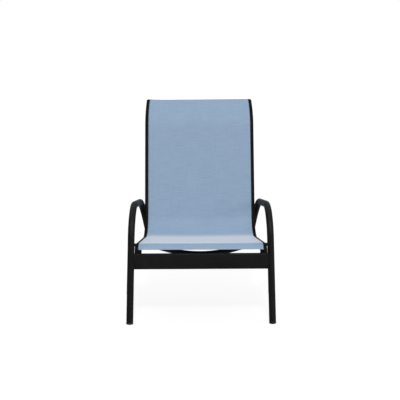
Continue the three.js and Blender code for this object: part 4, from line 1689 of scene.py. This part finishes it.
    def _band(self, name: str, start: float, end: float) -> bpy.types.Object:
        """Builds the fold of a hem under the cloth.

        Args:
            name: The fold's name.
            start: Where it starts along the rails.
            end: Where it ends.

        Returns:
            The fold.
        """
        rows, columns = 12, 72
        half = min(self.line.route.at(start).point.x, self.line.route.at(end).point.x)
        reach = half - self.line.width / 2 - self.fold_side_gap
        upper = -self.thickness / 2 - self.fold_gap
        lower = upper - self.fold_thickness
        lower_edge = upper - self.fold_thickness * self.fold_edge_share
        along = [start + (end - start) * k / rows for k in range(rows + 1)]
        ring = [(s, upper) for s in along]
        ring += [(s, lower_edge if s in (start, end) else lower) for s in reversed(along)]
        points, places = [], []
        for column in range(columns + 1):
            x = reach * (2 * column / columns - 1)
            points.extend(self._point(x, s, level) for s, level in ring)
            places.extend((x, s) for s, _ in ring)
        band = mesh_piece(name, points, loft_faces(columns + 1, 2 * (rows + 1)))
        self._map(band, places)
        return band

    def _stitches(self) -> bpy.types.Object:
        """Builds the stitch rows along both hems and beside both rails.

        Returns:
            All stitches as one piece.
        """
        pitch, stitch = self.stitch_pitch, self.stitch_length
        proud = self.thread_radius * self.thread_proud
        face = self.thickness / 2 + proud
        back = -self.thickness / 2 - (self.fold_gap + self.fold_thickness) - proud
        ends = []
        for row in (self.start + self.hem - self.row_inset, self.end - self.hem + self.row_inset):
            reach = self.line.route.at(row).point.x - self.line.width / 2 - self.row_side_gap
            for k in range(int(2 * reach / pitch)):
                x = -reach + k * pitch
                ends += [((x, row, level), (x + stitch, row, level)) for level in (face, back)]
        for k in range(int((self.end - self.start) / pitch)):
            at = self.start + k * pitch
            here = self.line.route.at(at).point.x - self.rail_row_inset
            there = self.line.route.at(at + stitch).point.x - self.rail_row_inset
            ends += [
                ((here * sign, at, face), (there * sign, at + stitch, face)) for sign in (1, -1)
            ]
        points, faces = [], []
        for first, last in ends:
            self._sew(points, faces, self._point(*first), self._point(*last))
        return mesh_piece("hem_stitches", points, faces)

    def _sew(
        self, points: list[Vector], faces: list[list[int]], first: Vector, last: Vector
    ) -> None:
        """Adds one short stitch between two points.

        Args:
            points: The points so far.
            faces: The faces so far.
            first: One end of the stitch.
            last: Its other end.
        """
        along = (last - first).normalized()
        sideways = along.orthogonal().normalized()
        up = along.cross(sideways)
        start = len(points)
        for share, width in self.stitch_shape:
            middle = first.lerp(last, share)
            outline = circle(self.thread_radius * width, self.stitch_sides)
            points.extend(middle + sideways * x + up * y for x, y in outline)
        faces.extend(loft_faces(len(self.stitch_shape), self.stitch_sides, first=start))


class Measure(Enum):
    """What gives a spreader's place on the rails, with the number of that coordinate."""

    BEHIND_FEET = 1
    OVER_SEAT_CORNER = 2


@dataclass(frozen=True)
class SpreaderPlace:
    """Where a spreader meets the rails, and how far it bows out behind or under the cloth."""

    name: str
    measure: Measure
    value: float
    bow: float


@dataclass
class Spreaders:
    """The bowed tubes that hold the rails apart, and the screws that hold them."""

    line: RailLine
    wardrobe: Wardrobe
    radius: float = 0.0127
    sides: int = 36
    steps: int = 96
    wall_reach: float = 0.002
    screw_head_radius: float = 0.0041
    screw_shank_radius: float = 0.0024
    screw_length: float = 0.045
    screw_proud: float = 0.00015
    places: tuple[SpreaderPlace, ...] = (
        SpreaderPlace("seat_spreader", Measure.BEHIND_FEET, 0.276, bow=0.054),
        SpreaderPlace("lower_back_spreader", Measure.OVER_SEAT_CORNER, 0.2075, bow=0.034),
        SpreaderPlace("upper_back_spreader", Measure.OVER_SEAT_CORNER, 0.520, bow=0.034),
    )

    def build(self) -> None:
        """Builds all three."""
        for place in self.places:
            station = self._station(place)
            self._tube(place, station)
            for side in Side:
                self._screw(place, station, side)

    def _station(self, place: SpreaderPlace) -> Station:
        """Finds the rail's place where a spreader meets it.

        Args:
            place: The spreader's place.

        Returns:
            The place on the right rail's centre line.
        """
        if place.measure is Measure.BEHIND_FEET:
            return self.line.seat_at(place.value)
        height = self.line.seat_corner_z + place.value
        return self.line.route.where(place.measure.value, height, from_end=True)

    def _tube(self, place: SpreaderPlace, station: Station) -> None:
        """Builds one bowed tube in place of its node.

        Args:
            place: The spreader's place.
            station: The rail's place where it meets the rail.
        """
        out = face_normal(station.tangent)
        start = station.point + out * self.line.chamber_middle
        half = station.point.x - self.line.width / 2
        reach = 1 + self.wall_reach / half
        stations = []
        for k in range(self.steps + 1):
            share = reach * (2 * k / self.steps - 1)
            behind = place.bow * (1 - share * share)
            point = Vector((half * share, start.y, start.z)) - out * behind
            slope = Vector((half, 0.0, 0.0)) + out * (2 * place.bow * share)
            stations.append(Station(point, slope.normalized()))
        tube = swept(f"{place.name}_bowed", circle(self.radius, self.sides), Route(stations))
        self.wardrobe.dress(tube, Slot.FRAME, place.name)

    def _screw(self, place: SpreaderPlace, station: Station, side: Side) -> None:
        """Builds the screw whose head shows on the outside of a rail.

        Args:
            place: The spreader's place.
            station: The rail's place where it meets the rail.
            side: The side that the screw goes on.
        """
        at = station.point + face_normal(station.tangent) * self.line.chamber_middle
        proud = self.screw_proud + abs(station.tangent.x) * self.screw_head_radius
        base = Vector((at.x + self.line.width / 2 + proud, at.y, at.z))
        name = f"{side.value}_{place.name}_screw"
        size = ScrewSize(self.screw_head_radius, self.screw_shank_radius, self.screw_length)
        screw = flat_screw(f"{name}_turned", base, ACROSS, size, side)
        self.wardrobe.dress(screw, Slot.FASTENER, name)


@dataclass(frozen=True)
class ScrewSize:
    """The sizes that every screw has: its head's and shank's radii and its shank's length."""

    head_radius: float
    shank_radius: float
    shank: float


@dataclass
class ScrewShape:
    """What all screws share: a bevelled shank below, and a six-sided socket in the head.

    The shares are of the shank's radius for the point and of the socket's for the rest.
    """

    name: str
    base: Vector
    out: Vector
    side: Side
    sides: int = 48
    point_share: float = 0.8
    point_bevel: float = 0.0008
    rim_share: float = 1.25
    bevel_share: float = 1.06
    floor_share: float = 0.2
    turn: Matrix = field(init=False)

    def __post_init__(self) -> None:
        """Works out how the screw is turned from upright."""
        self.turn = UPWARD.rotation_difference(self.out).to_matrix()

    def point(self, size: ScrewSize) -> list[Point2]:
        """Gives radius and height of the shank's bevelled end."""
        end = (size.shank_radius * self.point_share, -size.shank)
        return [end, (size.shank_radius, -size.shank + self.point_bevel)]

    def build(self, body: Sequence[Point2], socket: Sequence[Point2]) -> bpy.types.Object:
        """Builds the screw from its shank's end to the floor of its socket.

        Args:
            body: Radius and height of each point of the round outside.
            socket: The same for the six-sided socket, with radii to the middle of a flat.

        Returns:
            The screw.
        """
        outlines = [(circle(radius, self.sides), height) for radius, height in body]
        outlines += [(hexagon(radius, self.sides), height) for radius, height in socket]
        rings = [
            [self.base + self.turn @ Vector((x, y, height)) for x, y in outline]
            for outline, height in outlines
        ]
        return lofted(self.name, rings, self.side)


def button_screw(
    name: str, base: Vector, out: Vector, size: ScrewSize, head_height: float, side: Side
) -> bpy.types.Object:
    """Builds a button-head screw with a six-sided socket.

    Args:
        name: The screw's name.
        base: Where the head's underside lies on the axis.
        out: The direction from the underside out to the head's top.
        size: Its radii and its shank's length.
        head_height: The head's height.
        side: The side that it goes on.

    Returns:
        The screw.
    """
    face, skirt, crown = 0.97, 0.10, 0.90
    curve, steps = 0.62, 6
    socket, bevel, corner, floor = size.head_radius * 0.42, 0.94, 0.30, 0.22
    shape = ScrewShape(name, base, out, side)
    body = shape.point(size) + [(size.shank_radius, 0.0)]
    body += [(size.head_radius * face, 0.0), (size.head_radius, head_height * skirt)]
    rim = socket * shape.rim_share
    lowest, farthest = math.cos(math.pi / 2 * curve), math.sin(math.pi / 2 * curve)
    for k in range(1, steps + 1):
        lean = math.pi / 2 * k / steps * curve
        drop = (math.cos(lean) - lowest) / (1 - lowest)
        radius = size.head_radius + (rim - size.head_radius) * (1 - drop)
        body.append((radius, head_height * (skirt + crown * (math.sin(lean) / farthest))))
    inside = [(socket * shape.bevel_share, head_height), (socket, head_height * bevel)]
    inside += [(socket, head_height * corner), (socket * shape.floor_share, head_height * floor)]
    return shape.build(body, inside)


def flat_screw(
    name: str, base: Vector, out: Vector, size: ScrewSize, side: Side
) -> bpy.types.Object:
    """Builds a screw with a flat countersunk head and a six-sided socket.

    Args:
        name: The screw's name.
        base: The middle of the head's flat face.
        out: The direction out of that face.
        size: Its radii, and how far its shank reaches below the face.
        side: The side that it goes on.

    Returns:
        The screw.
    """
    socket, edge, corner, floor = size.head_radius * 0.45, 0.0002, 0.8, 0.9
    sunk = size.head_radius - size.shank_radius
    shape = ScrewShape(name, base, out, side)
    body = shape.point(size) + [(size.shank_radius, -sunk), (size.head_radius, -edge)]
    body += [(size.head_radius - edge, 0.0), (socket * shape.rim_share, 0.0)]
    inside = [(socket * shape.bevel_share, 0.0), (socket, -edge)]
    inside += [(socket, -sunk * corner), (socket * shape.floor_share, -sunk * floor)]
    return shape.build(body, inside)


@dataclass
class Fittings:
    """The moulded pieces: glides, end plugs and saddles.

    The saddle_shape gives shares of half the saddle's depth, and the share of its width there.
    """

    lines: BaseLines
    wardrobe: Wardrobe
    flare: float = 0.0005
    saddle_half_width: float = 0.010
    saddle_half_depth: float = 0.011
    saddle_shape: tuple[Point2, ...] = ((-1.0, 0.92), (-0.93, 1.0), (0.93, 1.0), (1.0, 0.92))
    saddle_steps: int = 8
    saddle_top_gap: float = 0.0002

    def build(self) -> None:
        """Builds the fittings of both sides."""
        lines = self.lines
        front = ("front_glide", lines.foot, lines.leg_direction, lines.leg_radius)
        rear = ("rear_glide", lines.rear_foot_point, lines.rear_leg_direction, lines.rear_radius)
        for side in Side:
            self._glide(side, *front)
            self._glide(side, *rear)
            self._end_plug(side)
            self._saddle(side)

    def _glide(self, side: Side, kind: str, foot: Vector, axis: Vector, tube_radius: float) -> None:
        """Builds a foot with a rolled collar, cut level with the floor.

        Args:
            side: The side that it goes on.
            kind: The end of its name.
            foot: Where the leg's middle line meets the floor.
            axis: The leg's direction, upwards.
            tube_radius: The leg's radius.
        """
        collar, height = tube_radius + self.flare, self.lines.glide_collar
        roll, rim, steps, sides = 0.0030, 0.0022, 5, 48
        roll_centre, rim_centre = (collar - roll, 0.0032), (collar - rim, height - rim)
        profile = [(collar - 0.0042, -0.006), (collar - 0.0036, 0.0)]
        profile += arc(roll_centre, roll, -math.pi / 3, math.pi / 6, steps)
        profile += arc(rim_centre, rim, 0.0, math.pi / 2, steps)
        profile += [(tube_radius - 0.0006, height), (tube_radius - 0.0010, height + 0.004)]
        turn = UPWARD.rotation_difference(axis).to_matrix()
        rings = []
        for radius, rise in profile:
            ring = []
            for x, y in circle(radius, sides):
                point = foot + turn @ Vector((x, y, rise))
                if point.z < 0.0:
                    point -= axis * (point.z / axis.z)
                ring.append(point)
            rings.append(ring)
        glide = lofted(f"{side.value}_{kind}_foot", rings, side)
        self.wardrobe.dress(glide, Slot.MOULDED, f"{side.value}_{kind}")

    def _end_plug(self, side: Side) -> None:
        """Builds the low domed plug in the open end of an arm tube.

        Args:
            side: The side that it goes on.
        """
        radius, sleeve, edge, roll, steps = self.lines.leg_radius, 0.0025, 0.0003, 0.0016, 5
        profile = [(radius - sleeve, 0.008), (radius - sleeve, 0.0), (radius - edge, 0.0)]
        profile += arc((radius - roll, -0.0010), roll, 0.0, -math.pi / 2, steps)
        profile += [(radius * 0.55, -0.0027), (radius * 0.50, -0.0023), (radius * 0.15, -0.0022)]
        base, axis = self.lines.arm_end, self.lines.arm_end_direction
        plug = turned(f"{side.value}_arm_plug_dome", profile, base, axis, side)
        self.wardrobe.dress(plug, Slot.MOULDED, f"{side.value}_arm_end_plug")

    def _saddle(self, side: Side) -> None:
        """Builds the block between an arm tube's end run and the rail above it.

        Args:
            side: The side that it goes on.
        """
        lines = self.lines
        centre = lines.arm_bolt_place()
        rings = []
        for share, width in self.saddle_shape:
            y, half = centre.y + self.saddle_half_depth * share, self.saddle_half_width * width
            axis = lines.arm_run_at(y).z
            top = lines.rail_underside_at(y) - self.saddle_top_gap
            ring = []
            for k in range(self.saddle_steps + 1):
                x = half * (2 * k / self.saddle_steps - 1)
                rise = math.sqrt(lines.leg_radius**2 - x * x)
                ring.append(Vector((centre.x + x, y, axis + rise)))
            ring += [Vector((centre.x + x, y, top)) for x in (half, -half)]
            rings.append(ring)
        saddle = lofted(f"{side.value}_saddle_block", rings, side)
        self.wardrobe.dress(saddle, Slot.MOULDED, f"{side.value}_arm_saddle")


@dataclass
class Fasteners:
    """The bolts under the bars and arm tubes, with their washers."""

    lines: BaseLines
    wardrobe: Wardrobe
    flat_head_radius: float = 0.005
    head_radius: float = 0.0065
    head_height: float = 0.0036
    shank_radius: float = 0.003175
    washer_radius: float = 0.008
    washer_thickness: float = 0.0015
    washer_edge: float = 0.0003
    washer_gap: float = 0.0003
    head_gap: float = 0.0002
    flat_head_proud: float = 0.00015
    thread: float = 0.009

    def build(self) -> None:
        """Builds each bolt and washer of both sides."""
        lines = self.lines
        bar, half_height = lines.rear_bar, lines.rear_bar_height / 2
        slope = math.tan(lines.rail.seat_slope) * self.washer_radius
        under_bar = Vector((bar.x, bar.y, bar.z - half_height - slope))
        arm = lines.arm_bolt_place()
        lean = abs(lines.arm_end_direction.z / lines.arm_end_direction.y) * self.washer_radius
        under_arm = Vector((arm.x, arm.y, arm.z - lines.leg_radius - lean))
        spots = (
            ("rear_bar", under_bar, bar.z + half_height + self.thread),
            ("arm", under_arm, lines.rail_underside_at(arm.y) + self.thread),
        )
        for side in Side:
            self._front_bar_bolt(side)
            for kind, under, reach in spots:
                self._bolt(side, kind, under, reach)

    def _front_bar_bolt(self, side: Side) -> None:
        """Builds the flat-headed bolt that rises through the front bar into a rail's foot.

        Args:
            side: The side that it goes on.
        """
        lines = self.lines
        bottom = lines.bar_top - lines.bar_height
        y = lines.rail.front_y - lines.rail.chamber_middle
        base = lines.place(lines.rail.front_half_spacing, y, bottom - self.flat_head_proud)
        shank = lines.rail.foot_z + self.thread - bottom
        size = ScrewSize(self.flat_head_radius, self.shank_radius, shank)
        name = f"{side.value}_front_bar_bolt"
        bolt = flat_screw(f"{name}_turned", base, -UPWARD, size, side)
        self.wardrobe.dress(bolt, Slot.FASTENER, name)

    def _bolt(self, side: Side, kind: str, under: Vector, reach: float) -> None:
        """Builds one bolt and its washer.

        Args:
            side: The side that they go on.
            kind: The start of their names.
            under: The lowest point of the surface that they are tightened against.
            reach: The height that the shank reaches up to.
        """
        radius, thickness, edge = self.washer_radius, self.washer_thickness, self.washer_edge
        washer_base = under.z - self.washer_gap - thickness
        profile = [
            (self.shank_radius, 0.0),
            (radius - edge, 0.0),
            (radius, edge),
            (radius, thickness - edge),
            (radius - edge, thickness),
            (self.shank_radius, thickness),
        ]
        base = Vector((under.x, under.y, washer_base))
        washer = turned(f"{side.value}_{kind}_washer_disc", profile, base, UPWARD, side)
        self.wardrobe.dress(washer, Slot.FASTENER, f"{side.value}_{kind}_washer")
        start = Vector((under.x, under.y, washer_base - self.head_gap))
        size = ScrewSize(self.head_radius, self.shank_radius, reach - start.z)
        name = f"{side.value}_{kind}_bolt"
        bolt = button_screw(f"{name}_turned", start, -UPWARD, size, self.head_height, side)
        self.wardrobe.dress(bolt, Slot.FASTENER, name)


def heading(azimuth: float, elevation: float) -> Vector:
    """Gives a direction from its angle to +Y, clockwise from above, and its angle upwards.

    Args:
        azimuth: The angle from +Y towards +X, in radians.
        elevation: The angle upwards.

    Returns:
        The direction, of length 1.
    """
    level = math.cos(elevation)
    return Vector((math.sin(azimuth) * level, math.cos(azimuth) * level, math.sin(elevation)))


@dataclass(frozen=True)
class ProductCamera:
    """The camera, which stands in front of the chair and looks slightly down."""

    distance: float = 5.0
    aside: float = -0.05
    height: float = 1.3956
    pitch: float = math.radians(9.33)
    yaw: float = math.radians(0.53)
    roll: float = math.radians(-0.19)
    lens: float = 101.52
    sensor: float = 36.0
    clip_end: float = 60.0

    def place(self, origin_y: float) -> None:
        """Makes the camera.

        Args:
            origin_y: The place of the front feet along Y.
        """
        forward = heading(self.yaw, -self.pitch)
        level = Vector((math.cos(self.yaw), -math.sin(self.yaw), 0.0))
        above = level.cross(forward)
        right = level * math.cos(self.roll) + above * math.sin(self.roll)
        up = above * math.cos(self.roll) - level * math.sin(self.roll)
        data = bpy.data.cameras.new("product_camera")
        data.lens = self.lens
        data.sensor_width = self.sensor
        data.clip_end = self.clip_end
        data.dof.use_dof = False
        camera = bpy.data.objects.new("product_camera", data)
        stand = Matrix.Translation((self.aside, origin_y - self.distance, self.height))
        turn = Matrix((right, up, -forward)).transposed().to_4x4()
        camera.matrix_world = stand @ turn
        bpy.context.scene.collection.objects.link(camera)
        bpy.context.scene.camera = camera


@dataclass(frozen=True)
class Lamp:
    """A white sun lamp. Its azimuth is from the front towards the right, in degrees."""

    name: str
    azimuth: float
    elevation: float
    strength: float
    spread: float

    def hang(self) -> None:
        """Makes the lamp, which shines from its azimuth and elevation."""
        data = bpy.data.lights.new(self.name, "SUN")
        data.energy = self.strength
        data.angle = math.radians(self.spread)
        data.color = WHITE[:3]
        lamp = bpy.data.objects.new(self.name, data)
        source = heading(math.radians(self.azimuth), math.radians(self.elevation))
        source.y = -source.y
        lamp.rotation_euler = source.to_track_quat("Z", "Y").to_euler()
        bpy.context.scene.collection.objects.link(lamp)


@dataclass
class Studio:
    """The white product-photo surroundings: camera, lamps, floor and backdrop light.

    The camera sees floor_glow and a diffuse floor of floor_shaded, which takes the shadow. Every
    other ray meets a diffuse floor of floor_unseen. Both top_light and back_light give the
    strength of the light straight from there, and the power that it fades with.
    """

    lamps: tuple[Lamp, ...] = (
        Lamp("front_key", azimuth=0.0, elevation=40.0, strength=1.75, spread=9.0),
        Lamp("right_strip", azimuth=62.0, elevation=20.0, strength=0.80, spread=26.0),
    )
    floor_half: float = 30.0
    floor_shaded: float = 0.15
    floor_glow: float = 0.874
    floor_unseen: float = 0.45
    top_light: Point2 = (0.95, 2.5)
    back_light: Point2 = (0.75, 2.0)
    even_light: float = 0.13

    def build(self, origin_y: float) -> None:
        """Builds the surroundings.

        Args:
            origin_y: The place of the front feet along Y.
        """
        ProductCamera().place(origin_y)
        for lamp in self.lamps:
            lamp.hang()
        self._floor()
        self._surroundings()
        bpy.context.scene.view_settings.view_transform = "Standard"

    def _floor(self) -> None:
        """Lays the white floor, which fades into the backdrop."""
        half = self.floor_half
        mesh = bpy.data.meshes.new("studio_floor")
        corners = [(-half, -half, 0.0), (half, -half, 0.0), (half, half, 0.0), (-half, half, 0.0)]
        mesh.from_pydata(corners, [], [(0, 1, 2, 3)])
        floor = bpy.data.objects.new("studio_floor", mesh)
        bpy.context.scene.collection.objects.link(floor)
        nodes = Nodes("studio_white_floor")
        shaded = nodes.add("ShaderNodeBsdfDiffuse", {"Color": (*[self.floor_shaded] * 3, 1.0)})
        glow = nodes.add("ShaderNodeEmission", {"Color": WHITE, "Strength": self.floor_glow})
        seen = nodes.add("ShaderNodeAddShader", {0: shaded.outputs[0], 1: glow.outputs[0]})
        unseen = nodes.add("ShaderNodeBsdfDiffuse", {"Color": (*[self.floor_unseen] * 3, 1.0)})
        surface = nodes.by_camera(seen, unseen)
        nodes.put(nodes.tree.nodes["Material Output"].inputs["Surface"], surface)
        mesh.materials.append(nodes.material)

    def _surroundings(self) -> None:
        """Sets the light from all round: most from above and behind, little from the front."""
        world = bpy.data.worlds.new("studio_light")
        world.use_nodes = True
        bpy.context.scene.world = world
        world.node_tree.nodes.clear()
        nodes = NodeTree(world.node_tree)
        direction = nodes.add("ShaderNodeTexCoord").outputs["Generated"]
        split = nodes.add("ShaderNodeSeparateXYZ", {0: direction})
        parts = []
        for axis, (strength, power) in (("Z", self.top_light), ("Y", self.back_light)):
            facing = nodes.math("MAXIMUM", split.outputs[axis], 0.0)
            parts.append(nodes.math("MULTIPLY", nodes.math("POWER", facing, power), strength))
        total = nodes.math("ADD", nodes.math("ADD", *parts), self.even_light)
        lit = nodes.add("ShaderNodeBackground", {"Color": WHITE, "Strength": total})
        seen = nodes.add("ShaderNodeBackground", {"Color": WHITE, "Strength": 1.0})
        nodes.add("ShaderNodeOutputWorld", {"Surface": nodes.by_camera(seen, lit)})


def main() -> None:
    """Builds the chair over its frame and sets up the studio."""
    logging.basicConfig(level=logging.INFO, format="%(message)s")
    wardrobe = Wardrobe()
    low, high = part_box("front_crossbar")
    rail = RailLine(origin_y=(low[1] + high[1]) / 2 - RailLine.front_y)
    lines = BaseLines(rail)
    rails = SlingRails(rail, wardrobe)
    BaseFrame(lines, wardrobe).build()
    rails.build()
    Sling(rail, rails.groove_centre, wardrobe).build()
    Spreaders(rail, wardrobe).build()
    Fittings(lines, wardrobe).build()
    Fasteners(lines, wardrobe).build()
    for name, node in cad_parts.items():
        if name.endswith("spreader_plug"):
            node.data.materials.clear()
            node.data.materials.append(wardrobe.plastic)
    Studio().build(rail.origin_y)


if __name__ == "__main__":
    main()
